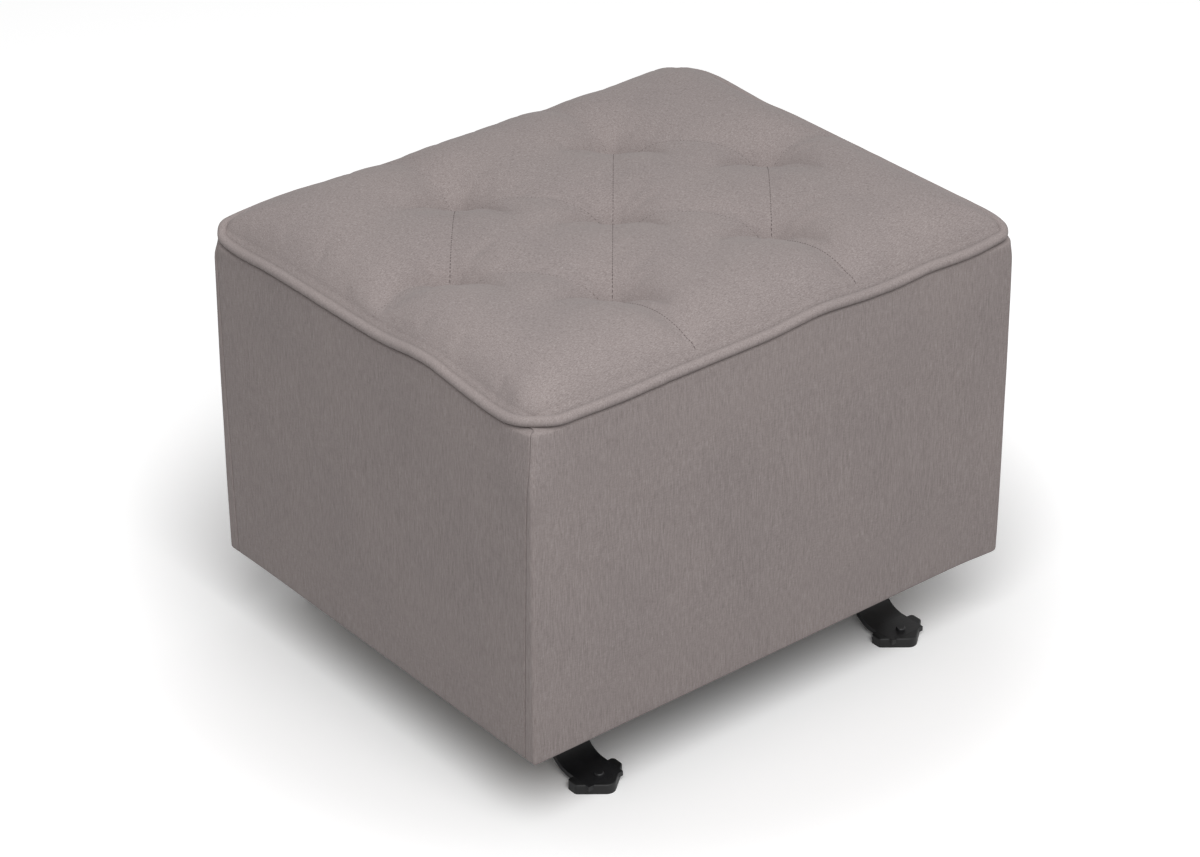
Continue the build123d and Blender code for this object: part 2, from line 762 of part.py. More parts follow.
nodes = {
    **two_sides("runner", make_runner()),
    **four_ways("foot", make_foot()),
    "foot_screws": pivot_group(make_foot_screw, foot_screw_place),
    **two_sides("side_plate", make_side_plate()),
    **front_and_rear("cross_tube", make_cross_tube(-cross_tube_offset)),
    "frame_bolts": pivot_group(make_frame_bolt, cross_tube_offset),
    "frame_nuts": pivot_group(make_frame_nut, cross_tube_offset),
    "upper_pivot_bolts": pivot_group(make_upper_bolt, link_offset),
    "upper_pivot_spacers": pivot_group(make_upper_spacer, link_offset),
    "upper_pivot_nuts": pivot_group(make_upper_nut, link_offset),
    "stop_bumpers": pivot_group(make_bumper, bumper_y),
    "stop_bolts": pivot_group(make_stop_bolt, bumper_y),
    **four_ways("link", make_link(-link_offset)),
    **four_ways("link_bushes", group(make_bushes(-link_offset))),
    **two_sides("carriage_plate", make_carriage_plate()),
    "carriage_screws": make_carriage_screws(),
    "lower_pivot_bolts": pivot_group(make_lower_bolt, link_offset),
    "lower_pivot_washers": pivot_group(make_lower_washer, link_offset),
    "lower_pivot_nuts": pivot_group(make_lower_nut, link_offset),
    **two_sides("mechanism_cleat", make_cleat()),
    **four_ways("corner_post", make_post()),
    **front_and_rear("board", make_front_board()),
    **two_sides("board", make_side_board()),
    "frame_screws": make_frame_screws(),
    "seat_deck": make_deck(),
    "seat_foam": make_seat_foam(),
    "tuft_twine": group([make_twine(x, y) for x, y in tufts]),
    "tuft_toggles": group([make_toggle(x, y) for x, y in tufts]),
    "seat_cover": make_top_cover(),
    "welt": make_welt(),
    **front_and_rear("wadding", front_wadding),
    **two_sides("wadding", right_wadding),
    **front_and_rear("cover", front_cover),
    **two_sides("cover", right_cover),
    "dust_cover": make_dust_cover(),
    "hem_staples": make_staples(),
}

os.makedirs("parts", exist_ok=True)
for name, shape in nodes.items():
    export_step(shape, f"parts/{name}.step")

travel = link_length * sin(radians(swing_limit))
print(len(nodes), "nodes; the ottoman glides", round(travel, 1), "mm each way")
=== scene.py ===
import math

import bpy
import numpy as np
from mathutils import Euler, Matrix, Vector


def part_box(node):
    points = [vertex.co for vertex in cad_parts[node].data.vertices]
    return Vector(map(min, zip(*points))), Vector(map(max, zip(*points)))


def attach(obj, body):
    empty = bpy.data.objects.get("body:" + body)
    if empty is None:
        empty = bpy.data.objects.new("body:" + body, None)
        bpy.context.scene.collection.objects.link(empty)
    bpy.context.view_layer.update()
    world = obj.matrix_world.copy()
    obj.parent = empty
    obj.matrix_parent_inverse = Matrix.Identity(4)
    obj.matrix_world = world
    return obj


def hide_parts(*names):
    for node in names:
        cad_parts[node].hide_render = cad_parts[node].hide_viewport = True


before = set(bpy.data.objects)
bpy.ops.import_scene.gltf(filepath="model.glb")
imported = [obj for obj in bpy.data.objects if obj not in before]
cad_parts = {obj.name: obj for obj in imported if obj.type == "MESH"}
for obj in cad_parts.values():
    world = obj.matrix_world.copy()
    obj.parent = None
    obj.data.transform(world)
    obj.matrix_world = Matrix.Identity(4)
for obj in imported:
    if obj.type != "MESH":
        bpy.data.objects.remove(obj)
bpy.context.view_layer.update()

# Looks for the gliding ottoman. Lengths are in millimetres and turned into metres by MM.
MM = 0.001
BODY = "ottoman"

# ---------- sizes shared with the CAD part
HALF_WIDTH, HALF_DEPTH = 282.5, 235.5  # outer faces of the covers
FLOOR_GAP = 75.0
DECK_TOP = 360.0
COVER = 1.5  # thickness of the cloth
HEM = 30.0
COLUMN, ROW = 94.0, 113.0  # pitch of the tufts
TUFTS = [(c * COLUMN, r * ROW) for c in (-2, -1, 0, 1, 2) for r in (-1, 0, 1) if (c + r) % 2 == 0]

# ---------- sizes of the soft pieces
# What has one value for each corner lists the front right, rear right, rear left and front left corners.
CORNER_SIDES = [(1, -1), (1, 1), (-1, 1), (-1, -1)]
WELT_RADIUS = 4.7
WELT_CORNERS = (14.0, 46.0, 17.0, 38.0)  # plan radius of the welt
WELT_PUSH = (0.5, 0.5, 2.0, 0.0)  # how far the welt is pushed out
PUSH_REACH, SEAT_PUSH_REACH = 26.0, 40.0  # how far away this is felt, along the welt and in the seat
WELT_OVERHANG = 2.0  # how far the welt stands out over the faces between the corners
CORNER_ZONE = 45.0  # length beside each corner that counts as the corner's own
LOW_RADIUS = 3.0  # plan radius of the corners below the welt
SEAT_X, SEAT_Y = 274.4, 227.4  # half sizes of the seat, inside the welt
SEAT_INSET = 8.0  # from the welt's plan radius to the seat's
TWINE_LOW = 345.2  # lower end of the tufts' twine, just inside the toggles


# ---------- helpers
def make_mesh(name, verts, faces, smooth=True):
    """A mesh object from points in millimetres."""
    mesh = bpy.data.meshes.new(name)
    mesh.from_pydata((np.asarray(verts, float) * MM).tolist(), [], [list(map(int, f)) for f in faces])
    mesh.update()
    if smooth:
        mesh.polygons.foreach_set("use_smooth", [True] * len(mesh.polygons))
    obj = bpy.data.objects.new(name, mesh)
    bpy.context.scene.collection.objects.link(obj)
    return obj


def grid_faces(rows, cols, start=0, wrap=False, flip=False):
    """Quads of a grid of points, row after row."""
    faces = []
    for i in range(rows - 1):
        for j in range(cols if wrap else cols - 1):
            k = (j + 1) % cols
            low, high = start + i * cols, start + (i + 1) * cols
            quad = (low + j, low + k, high + k, high + j)
            faces.append(quad[::-1] if flip else quad)
    return faces


def smooth_noise(seed, count, low, high):
    """A smooth random function of two lengths in millimetres, from about -1 to 1: the sum of count waves,
    each with low to high cycles in a millimetre."""
    rng = np.random.default_rng(seed)
    waves = [
        (rng.uniform(low, high), rng.uniform(0, math.tau), rng.uniform(0, math.tau), rng.uniform(0.5, 1))
        for _ in range(count)
    ]

    def value(a, b):
        total = 0
        for pitch, angle, phase, size in waves:
            along = a * math.cos(angle) + b * math.sin(angle)
            total = total + size * np.sin(math.tau * pitch * along + phase)
        return total / sum(w[3] for w in waves)

    return value


def smooth_steps(x):
    """Rises smoothly from 0 at 0 to 1 at 1."""
    x = np.clip(x, 0, 1)
    return x * x * (3 - 2 * x)


# ---------- the welt's line
# Height of the welt's middle along each side: a level, and the swells (above it) and dips (below it) on it,
# each with its place from the side's middle, its rise and its width.
FRONT_LEVEL, LEFT_LEVEL, REAR_LEVEL, RIGHT_LEVEL = 414.0, 413.8, 421.4, 424.3
FRONT_SWELLS = [(-270, 0.5, 30), (-183, -1.4, 35), (45, 4.4, 42), (178, 2.2, 26), (290, 3.6, 45)]
LEFT_SWELLS = [(-240, 0.8, 20), (-185, -1.8, 28), (-86, 7.1, 46), (195, -3.0, 32), (246, 7.0, 18)]
REAR_SWELLS = [(-290, -3.2, 22), (-200, 4.7, 66), (148, -2.7, 55), (290, 3.0, 30)]
RIGHT_SWELLS = [(-245, -8.0, 22), (108, -1.7, 24), (172, 1.2, 20)]


def side_height(level, swells, t):
    """A smooth height along one side, from its level and its swells."""
    return level + sum(rise * np.exp(-(((t - place) / width) ** 2)) for place, rise, width in swells)


def welt_height(x, y):
    """Height of the welt's middle at the place on the outline nearest to x, y."""
    x, y = np.broadcast_arrays(np.asarray(x, float), np.asarray(y, float))
    heights = [
        side_height(FRONT_LEVEL, FRONT_SWELLS, x), side_height(REAR_LEVEL, REAR_SWELLS, x),
        side_height(LEFT_LEVEL, LEFT_SWELLS, y), side_height(RIGHT_LEVEL, RIGHT_SWELLS, y),
    ]
    gaps = [HALF_DEPTH + y, HALF_DEPTH - y, HALF_WIDTH + x, HALF_WIDTH - x]
    weights = [1 / np.maximum(g, 1.0) ** 3 for g in gaps]
    return sum(w * h for w, h in zip(weights, heights)) / sum(weights)


# ---------- materials
def srgb(r, g, b):
    """Linear colour of three sRGB values from 0 to 255."""
    def one(v):
        v /= 255
        return v / 12.92 if v <= 0.04045 else ((v + 0.055) / 1.055) ** 2.4
    return (one(r), one(g), one(b), 1.0)


AXES = {"X": 0, "Y": 1, "Z": 2}


class Paint:
    """Builds one node material."""

    def __init__(self, name):
        self.material = bpy.data.materials.new(name)
        self.material.use_nodes = True
        self.nodes, self.links = self.material.node_tree.nodes, self.material.node_tree.links
        self.shader = self.nodes["Principled BSDF"]
        self.place = self.nodes.new("ShaderNodeTexCoord").outputs["Object"]

    def set(self, **values):
        for name, value in values.items():
            self.shader.inputs[name.replace("_", " ")].default_value = value
        return self

    def node(self, kind, **inputs):
        """A new node whose inputs are set to values or linked to sockets."""
        node = self.nodes.new(f"ShaderNode{kind}")
        for name, value in inputs.items():
            self.feed(node.inputs[name.replace("_", " ")], value)
        return node

    def feed(self, socket, value):
        if isinstance(value, (int, float, tuple, list)):
            socket.default_value = value
        else:
            self.links.new(value, socket)

    def stretched(self, scale):
        scale = scale if np.ndim(scale) else (scale,) * 3
        return self.node("Mapping", Scale=scale, Vector=self.place).outputs["Vector"]

    def noise(self, scale, detail=2.0, roughness=0.5, distortion=0.0):
        return self.node("TexNoise", Scale=1.0, Detail=detail, Roughness=roughness, Distortion=distortion,
                         Vector=self.stretched(scale)).outputs["Fac"]

    def wave(self, scale, axis, distortion):
        node = self.node("TexWave", Scale=1.0, Distortion=distortion, Detail=1.0,
                         Vector=self.stretched(scale))
        node.bands_direction = axis
        return node.outputs["Fac"]

    def math(self, what, a, b=0.5, clamp=False):
        node = self.nodes.new("ShaderNodeMath")
        node.operation = what
        node.use_clamp = clamp
        for socket, value in zip(node.inputs, (a, b)):
            self.feed(socket, value)
        return node.outputs[0]

    def ramp(self, factor, stops):
        node = self.nodes.new("ShaderNodeValToRGB")
        while len(node.color_ramp.elements) < len(stops):
            node.color_ramp.elements.new(0.5)
        for element, (place, colour) in zip(node.color_ramp.elements, stops):
            element.position = place
            element.color = colour
        self.links.new(factor, node.inputs["Fac"])
        return node.outputs["Color"]

    def mix(self, factor, a, b, kind="MIX"):
        node = self.nodes.new("ShaderNodeMix")
        node.data_type = "RGBA"
        node.blend_type = kind
        for k, value in ((0, factor), (6, a), (7, b)):
            self.feed(node.inputs[k], value)
        return node.outputs[2]

    def colour(self, socket):
        self.links.new(socket, self.shader.inputs["Base Color"])
        return self

    def rough(self, factor, low, high):
        node = self.node("MapRange", To_Min=low, To_Max=high, Value=factor)
        self.links.new(node.outputs["Result"], self.shader.inputs["Roughness"])
        return self

    def bump(self, height, distance, strength=1.0):
        node = self.node("Bump", Strength=strength, Distance=distance, Height=height)
        self.links.new(node.outputs["Normal"], self.shader.inputs["Normal"])
        return self


def linen(name, along, across, painted_shading, slub_scale, soft):
    """Heathered linen-look cloth. along and across are the axes that its stronger and weaker threads run
    along, slub_scale is how fine the stronger are across and along their run, and soft evens out tones.
    The fourth argument scales every tone, which paints a whole face darker or lighter: painted shading or a
    painted highlight for how light falls on that face."""
    p = Paint(name).set(Sheen_Weight=0.1, Sheen_Roughness=0.5, Specular_IOR_Level=0.2)

    def threads_along(axis, fine, length):
        scale = [fine] * 3
        scale[AXES[axis]] = length
        return p.noise(scale, detail=2.0, roughness=0.5)

    slub = threads_along(along, *slub_scale)
    cross = threads_along(across, 1500.0, 330.0)
    grain = p.noise(1500, detail=2.0, roughness=0.7)
    broad = p.noise(11, detail=3.0)
    threads = p.math("ADD", p.math("MULTIPLY", slub, 0.5), p.math("MULTIPLY", cross, 0.28))
    threads = p.math("ADD", threads, p.math("MULTIPLY", grain, 0.22))
    # painted shading or highlight: every tone is scaled by the fourth argument, for how light falls on the
    # face
    tones = [
        (0.5 + offset * soft, srgb(*(painted_shading * v for v in colour)))
        for offset, colour in (
            (-0.14, (120, 110, 109)), (-0.06, (143, 133, 131)), (0.0, (152, 142, 140)),
            (0.07, (163, 153, 151)), (0.16, (182, 173, 171)),
        )
    ]
    tone = p.ramp(threads, tones)
    drift = p.ramp(broad, [(0.35, (0.975, 0.975, 0.978, 1)), (0.65, (1.022, 1.02, 1.018, 1))])
    p.colour(p.mix(1.0, tone, drift, "MULTIPLY"))
    p.rough(grain, 0.82, 0.98)
    return p.bump(threads, 0.0003, 0.4).material


def thread_painted_shading(name):
    p = Paint(name).set(Sheen_Weight=0.1)
    twist = p.noise(1400, detail=2.0)
    # painted shading: the thread is dark to stand for the shading in the seam grooves and at the tuft bottoms
    p.colour(p.ramp(twist, [(0.35, srgb(58, 48, 47)), (0.65, srgb(92, 80, 78))]))
    return p.rough(twist, 0.7, 0.9).bump(twist, 0.0002).material


def powder_coat(name):
    p = Paint(name).set(Specular_IOR_Level=0.45)
    peel = p.noise(420, detail=3.0, roughness=0.6)
    scuff = p.noise(30, detail=6.0, roughness=0.7)
    p.colour(p.ramp(scuff, [(0.35, srgb(20, 20, 21)), (0.62, srgb(30, 30, 32)), (0.8, srgb(46, 46, 47))]))
    return p.rough(scuff, 0.38, 0.58).bump(peel, 0.00025, 0.5).material


def moulded_plastic(name, dark, light, low=0.45, high=0.62):
    p = Paint(name).set(Specular_IOR_Level=0.4)
    grain = p.noise(950, detail=2.0, roughness=0.6)
    flow = p.noise(45, detail=3.0)
    p.colour(p.ramp(flow, [(0.3, dark), (0.7, light)]))
    return p.rough(flow, low, high).bump(grain, 0.00015, 0.5).material


def zinc(name):
    p = Paint(name).set(Metallic=1.0)
    spangle = p.noise(160, detail=4.0, roughness=0.65)
    lines = p.noise((2200, 2200, 90), detail=2.0)
    tones = [(0.3, srgb(150, 152, 156)), (0.55, srgb(186, 188, 190)), (0.75, srgb(212, 212, 208))]
    p.colour(p.ramp(spangle, tones))
    return p.rough(spangle, 0.24, 0.46).bump(lines, 0.00008, 0.5).material


def rubber(name):
    p = Paint(name).set(Specular_IOR_Level=0.3)
    dust = p.noise(120, detail=5.0, roughness=0.7)
    p.colour(p.ramp(dust, [(0.35, srgb(20, 20, 20)), (0.7, srgb(38, 37, 36))]))
    return p.rough(dust, 0.7, 0.9).bump(dust, 0.0003, 0.4).material


def timber(name, pale, dark, along):
    """Sawn softwood with its grain along one axis."""
    p = Paint(name).set(Specular_IOR_Level=0.25)
    grain_scale, fibre_scale = [70.0] * 3, [900.0] * 3
    grain_scale[AXES[along]], fibre_scale[AXES[along]] = 3.0, 22.0
    rings = p.noise(grain_scale, detail=3.0, roughness=0.55, distortion=1.2)
    fibre = p.noise(fibre_scale, detail=3.0)
    knots = p.noise(14, detail=1.0)
    tone = p.ramp(rings, [(0.32, dark), (0.5, pale), (0.68, dark)])
    tone = p.mix(0.25, tone, p.ramp(fibre, [(0.3, dark), (0.7, pale)]))
    knot = p.math("MULTIPLY", p.math("SUBTRACT", knots, 0.66, True), 4.0, True)
    tone = p.mix(knot, tone, srgb(122, 84, 48))
    p.colour(tone)
    return p.rough(fibre, 0.6, 0.85).bump(fibre, 0.0004, 0.5).material


def ply(name, thin_axis):
    """Plywood: a face veneer with plies that show on the edges, stacked along one axis."""
    p = Paint(name).set(Specular_IOR_Level=0.25)
    face_scale = [14.0, 14.0, 14.0]
    face_scale[(AXES[thin_axis] + 1) % 3] = 220.0
    figure = p.noise(face_scale, detail=4.0, roughness=0.6, distortion=0.6)
    layers = [0.0, 0.0, 0.0]
    layers[AXES[thin_axis]] = 210.0
    plies = p.wave(tuple(layers), axis=thin_axis, distortion=0.3)
    fibre = p.noise(500, detail=3.0)
    tone = p.ramp(figure, [(0.3, srgb(176, 142, 98)), (0.6, srgb(209, 178, 132)), (0.8, srgb(222, 194, 150))])
    stripes = p.ramp(plies, [(0.35, srgb(136, 98, 62)), (0.6, srgb(214, 184, 140))])
    tone = p.mix(0.3, tone, stripes, "MULTIPLY")
    p.colour(tone)
    return p.rough(fibre, 0.62, 0.85).bump(fibre, 0.0003, 0.4).material


def dust_fabric(name):
    """Black spun-bonded cloth with its embossed dots."""
    p = Paint(name).set(Specular_IOR_Level=0.15)
    dots = p.node("TexVoronoi", Scale=700.0, Randomness=0.25, Vector=p.place)
    fibres = p.noise(650, detail=4.0, roughness=0.75)
    p.colour(p.ramp(fibres, [(0.35, srgb(22, 22, 23)), (0.6, srgb(38, 38, 39)), (0.8, srgb(62, 62, 63))]))
    return p.rough(fibres, 0.8, 0.95).bump(dots.outputs["Distance"], 0.0003, 0.5).material


def twine_fibre(name):
    p = Paint(name).set(Sheen_Weight=0.15)
    lay = p.wave(420, axis="DIAGONAL", distortion=1.0)
    fuzz = p.noise((1600, 1600, 700), detail=3.0)
    p.colour(p.mix(0.4, p.ramp(fuzz, [(0.3, srgb(166, 150, 120)), (0.7, srgb(222, 210, 184))]),
                   p.ramp(lay, [(0.3, srgb(140, 124, 96)), (0.7, srgb(224, 212, 188))])))
    return p.rough(fuzz, 0.75, 0.95).bump(lay, 0.0004).material


# ---------- seat: target height
CELLS = 40  # of the seat's grid in a pitch of the tufts, so that the seams run through its points
EDGE_CELLS_X, EDGE_CELLS_Y = 38, 40  # from the last tufts to the welt
FINE_X, FINE_Y = COLUMN / CELLS, ROW / CELLS
edge_x = np.linspace(2 * COLUMN, SEAT_X, EDGE_CELLS_X + 1)[1:]
edge_y = np.linspace(ROW, SEAT_Y, EDGE_CELLS_Y + 1)[1:]
half_x = np.concatenate([np.arange(2 * CELLS + 1) * FINE_X, edge_x])
half_y = np.concatenate([np.arange(CELLS + 1) * FINE_Y, edge_y])
grid_x = np.concatenate([-half_x[:0:-1], half_x])
grid_y = np.concatenate([-half_y[:0:-1], half_y])
NX, NY = len(grid_x), len(grid_y)
GX, GY = np.meshgrid(grid_x, grid_y, indexing="ij")


def corner_radius(x, y, inset):
    """The welt's plan radius in the quarter that a place lies in, less an inset."""
    front_right, rear_right, rear_left, front_left = WELT_CORNERS
    radius = np.where(x > 0, np.where(y < 0, front_right, rear_right), np.where(y < 0, front_left, rear_left))
    return radius - inset


def round_corners(x, y, half_w, half_d, radius):
    """Moves the corner zones of a rectangle's grid on to its rounded corners."""
    px = np.clip((np.abs(x) - (half_w - radius)) / radius, 0, None)
    py = np.clip((np.abs(y) - (half_d - radius)) / radius, 0, None)
    inside = (px > 0) & (py > 0)
    qx = px * np.sqrt(1 - np.minimum(py, 1) ** 2 / 2)
    qy = py * np.sqrt(1 - np.minimum(px, 1) ** 2 / 2)
    nx = np.where(inside, np.sign(x) * (half_w - radius + radius * qx), x)
    ny = np.where(inside, np.sign(y) * (half_d - radius + radius * qy), y)
    return nx, ny


def edge_distance(x, y, half_w, half_d, radius):
    """How far a point is inside a rounded rectangle."""
    ax, ay = np.abs(x) - (half_w - radius), np.abs(y) - (half_d - radius)
    outside = np.hypot(np.maximum(ax, 0), np.maximum(ay, 0))
    return radius - outside - np.minimum(np.maximum(ax, ay), 0)


SEAT_R = corner_radius(GX, GY, SEAT_INSET)
PX, PY = round_corners(GX, GY, SEAT_X, SEAT_Y, SEAT_R)
DEPTH_IN = np.maximum(edge_distance(PX, PY, SEAT_X, SEAT_Y, SEAT_R), 0)


def seam_lines():
    """Plan lines of the stitched seams, each from a tuft to the next or to the welt."""
    lines = []
    for tx, ty in TUFTS:
        for sy in (-1, 1):
            ex, ey = tx + COLUMN, ty + sy * ROW
            if abs(ex) <= 2 * COLUMN + 1 and abs(ey) <= ROW + 1:
                lines.append(((tx, ty), (ex, ey)))
        if abs(ty) > 1:
            lines.append(((tx, ty), (tx, math.copysign(SEAT_Y - 1, ty))))
        elif abs(tx) > COLUMN:
            lines.append(((tx, ty), (math.copysign(SEAT_X - 1, tx), 0.0)))
    return lines


TUFT_DEPTH, TUFT_REACH, TUFT_POWER, TUFT_WIDE = 23.3, 27.1, 1.264, 1.25  # the bowl round a tuft
SEAM_DROP, EDGE_DROP, SEAM_WIDTH = 3.1, 5.3, 20.0  # fall of the seams below the cushions beside them
SEAM_POWER, EDGE_FADE = 1.6, 14  # how sharp it is, and how far from the welt the seams to the welt fade out
FALL_GAIN = 1.6  # how soon the falls reach their whole depth as the crown rises
PLEAT_TURN = math.radians(-39.4)  # the pleat at each tuft runs this way, and its ends curl to the front left
PLEAT_REACH, PLEAT_CURL, PLEAT_DEPTH = 52.0, 0.0155, 6.2
PLEAT_LIP, PLEAT_BACK = 4.5, 20.0  # width of the pleat's steep lip, and of the wall behind it
PLEAT_SWELL, PLEAT_END = 0.3, 3.5  # how much deeper it gets towards its ends, and how sharply it ends


def tuft_fall(x, y):
    """How far the cloth is drawn down at the tufts: a wide bowl with a curled pleat in it, which has a steep
    lip at the front and a soft far wall."""
    total = 0
    ca, sa = math.cos(PLEAT_TURN), math.sin(PLEAT_TURN)
    for k, (tx, ty) in enumerate(TUFTS):
        rng = np.random.default_rng(60 + k)
        curl, size = PLEAT_CURL * rng.uniform(0.88, 1.1), rng.uniform(0.9, 1.08)
        along, out = (x - tx) * ca + (y - ty) * sa, (x - tx) * sa - (y - ty) * ca
        gap = out - curl * along**2
        reach = np.hypot(np.hypot(along / TUFT_WIDE, gap), 2.0) / TUFT_REACH
        total = total + TUFT_DEPTH * np.exp(-(reach**TUFT_POWER))
        share = np.minimum(np.abs(along) / PLEAT_REACH, 1)
        depth = size * PLEAT_DEPTH * (1 + PLEAT_SWELL * share) * (1 - share**PLEAT_END)
        lip, wall = np.exp(-((gap / PLEAT_LIP) ** 2)), np.clip(1 + gap / PLEAT_BACK, 0, 1) ** 2
        total = total + depth * np.where(gap > 0, lip, wall)
    return total


def seam_fall(x, y):
    """How far the cushions' edges are drawn down along the seams."""
    fall = 0
    for (x0, y0), (x1, y1) in seam_lines():
        length = math.hypot(x1 - x0, y1 - y0)
        ux, uy = (x1 - x0) / length, (y1 - y0) / length
        along = (x - x0) * ux + (y - y0) * uy
        past = np.maximum(np.maximum(-along, along - length), 0)
        gap = np.hypot((x - x0) * uy - (y - y0) * ux, past)
        to_welt = length < ROW + 2
        depth = EDGE_DROP * np.clip((length - along) / EDGE_FADE, 0, 1) if to_welt else SEAM_DROP
        fall = np.maximum(fall, depth * np.exp(-((np.hypot(gap, 1.0) / SEAM_WIDTH) ** SEAM_POWER)))
    return fall


def seam_mask():
    """True at the grid's points on the stitched seams."""
    on = np.zeros((NX, NY), bool)
    span_x, span_y = 2 * COLUMN + 0.01, ROW + 0.01
    for tx, ty in TUFTS:
        for sx in (-1, 1):
            for sy in (-1, 1):
                if abs(tx + sx * COLUMN) < span_x and abs(ty + sy * ROW) < span_y:
                    on |= (
                        (np.abs((GX - tx) / COLUMN * sx - (GY - ty) / ROW * sy) < 1e-6)
                        & ((GX - tx) * sx >= -1e-6)
                        & ((GX - tx) * sx <= COLUMN + 1e-6)
                    )
        if abs(ty) > 1:
            on |= (np.abs(GX - tx) < 1e-6) & (GY * np.sign(ty) >= abs(ty) - 1e-6)
        elif abs(tx) > COLUMN:
            on |= (np.abs(GY) < 1e-6) & (GX * np.sign(tx) >= abs(tx) - 1e-6)
    return on


SEAMS = seam_mask()
BORDER = np.zeros((NX, NY), bool)
BORDER[[0, -1], :] = True
BORDER[:, [0, -1]] = True

SEAT_TOP, CROWN_WIDTH, CROWN_POWER = 449.5, 64.0, 2.05
EDGE_RISE = 0.8  # from the welt's middle up to the seat's edge
LOW_SPOT, LOW_SPOT_X, LOW_SPOT_Y = 3.2, 190, 200  # how much lower the cushion is at the rear right, and where
LOW_SPOT_REACH_X, LOW_SPOT_REACH_Y = 75, 45
PUCKER, PUCKER_REACH = 0.32, 14  # small folds round each tuft: their depth, and where they are deepest
PUCKER_FOLDS = (7, 9, 12)  # their numbers round the tuft
UNEVEN, UNEVEN_EDGE = 0.35, 20  # unevenness of the stuffing, and how far from the welt it is whole
# Short gathers where the cloth is eased into the welt beside the front left corner. Each has its place, its
# direction in degrees and its depth.
GATHERS = [(-273.6, -176.0, 12.0, 1.8), (-273.0, -184.0, 26.0, 0.8), (-271.5, -191.0, 38.0, 0.8)]
GATHER_WIDTH, GATHER_START, GATHER_RISE, GATHER_END, GATHER_FADE = 2.6, -2, 3, 19, 16
edge_level = welt_height(PX, PY) + EDGE_RISE


def crown_share(depth):
    """Height of the crown at a distance in from the welt, as a share of its full height."""
    share = 1 - np.clip(depth / CROWN_WIDTH, 0, 1)
    return np.clip(1 - share**CROWN_POWER, 0, 1) ** (1 / CROWN_POWER)


def refine(field, rows, cols):
    """A field on a finer grid, by straight steps."""
    i, j = np.linspace(0, field.shape[0] - 1, rows), np.linspace(0, field.shape[1] - 1, cols)
    wide = np.array([np.interp(j, np.arange(field.shape[1]), row) for row in field])
    return np.array([np.interp(i, np.arange(field.shape[0]), column) for column in wide.T]).T


corner_fall = np.maximum(crown_share(SEAT_X - np.abs(PX)), crown_share(SEAT_Y - np.abs(PY))) ** 0.5
crown = edge_level + (SEAT_TOP - edge_level) * crown_share(DEPTH_IN) * corner_fall
spot_x, spot_y = (PX - LOW_SPOT_X) / LOW_SPOT_REACH_X, (PY - LOW_SPOT_Y) / LOW_SPOT_REACH_Y
crown = crown - LOW_SPOT * np.exp(-(spot_x**2) - spot_y**2) * crown_share(DEPTH_IN)
level = (crown - edge_level) / (SEAT_TOP - edge_level)
target = crown - (tuft_fall(PX, PY) + seam_fall(PX, PY)) * np.clip(FALL_GAIN * level, 0, 1)

# Small puckers that radiate from each tuft and cross the seams.
for k, (tx, ty) in enumerate(TUFTS):
    r, a = np.hypot(PX - tx, PY - ty), np.arctan2(PY - ty, PX - tx)
    rng = np.random.default_rng(20 + k)
    folds = sum(rng.uniform(0.5, 1) * np.cos(m * a + rng.uniform(0, math.tau)) for m in PUCKER_FOLDS)
    target += PUCKER * folds * (r / PUCKER_REACH) * np.exp(1 - r / PUCKER_REACH) * (1 - SEAMS)
target += UNEVEN * smooth_noise(5, 8, 0.006, 0.02)(PX, PY) * smooth_steps(DEPTH_IN / UNEVEN_EDGE)

for gx, gy, turn, depth in GATHERS:
    ca, sa = math.cos(math.radians(turn)), math.sin(math.radians(turn))
    along, across = (PX - gx) * ca + (PY - gy) * sa, (PY - gy) * ca - (PX - gx) * sa
    start = smooth_steps((along - GATHER_START) / GATHER_RISE)
    end = smooth_steps((GATHER_END - along) / GATHER_FADE)
    target -= depth * np.exp(-((across / GATHER_WIDTH) ** 2)) * start * end


# ---------- seat: cloth simulation
CLOTH_STEP, CLOTH_FRAMES = 2, 20  # the simulated cloth has every second point of the grid
CAP = 3.0  # how far the simulated cloth may leave the target form


def relax_cloth():
    """Blows up the seat's cloth between its seams. Returns each coarse point's move in millimetres."""
    coarse = np.s_[::CLOTH_STEP, ::CLOTH_STEP]
    x, y, z = PX[coarse], PY[coarse], target[coarse]
    rows, cols = x.shape
    held = (SEAMS | BORDER)[coarse]
    rng = np.random.default_rng(11)
    start = np.stack([x, y, z + rng.uniform(-0.15, 0.15, x.shape) * ~held], -1).reshape(-1, 3)
    obj = make_mesh("cloth_trial", start, grid_faces(rows, cols, flip=True))
    group = obj.vertex_groups.new(name="held")
    group.add([int(i) for i in np.flatnonzero(held.ravel())], 1.0, "REPLACE")
    cloth = obj.modifiers.new("Cloth", "CLOTH")
    s = cloth.settings
    s.quality = 6
    s.mass = 0.3
    s.tension_stiffness = s.compression_stiffness = 12
    s.shear_stiffness = 4
    s.bending_stiffness = 0.4
    s.tension_damping = s.compression_damping = 10
    s.air_damping = 4
    s.vertex_group_mass = "held"
    s.use_pressure = True
    s.uniform_pressure_force = 4.0
    s.shrink_min = -0.005  # a little spare cloth, so that it wrinkles
    s.effector_weights.gravity = 0
    cloth.collision_settings.use_collision = False
    cloth.collision_settings.use_self_collision = False
    scene = bpy.context.scene
    scene.frame_start, scene.frame_end = 1, CLOTH_FRAMES
    cloth.point_cache.frame_start, cloth.point_cache.frame_end = 1, CLOTH_FRAMES
    for f in range(1, CLOTH_FRAMES + 1):
        scene.frame_set(f)
    shape = obj.evaluated_get(bpy.context.evaluated_depsgraph_get()).data
    co = np.zeros(len(shape.vertices) * 3)
    shape.vertices.foreach_get("co", co)
    scene.frame_set(1)
    bpy.data.objects.remove(obj)
    return co.reshape(rows, cols, 3) / MM - np.stack([x, y, z], -1)


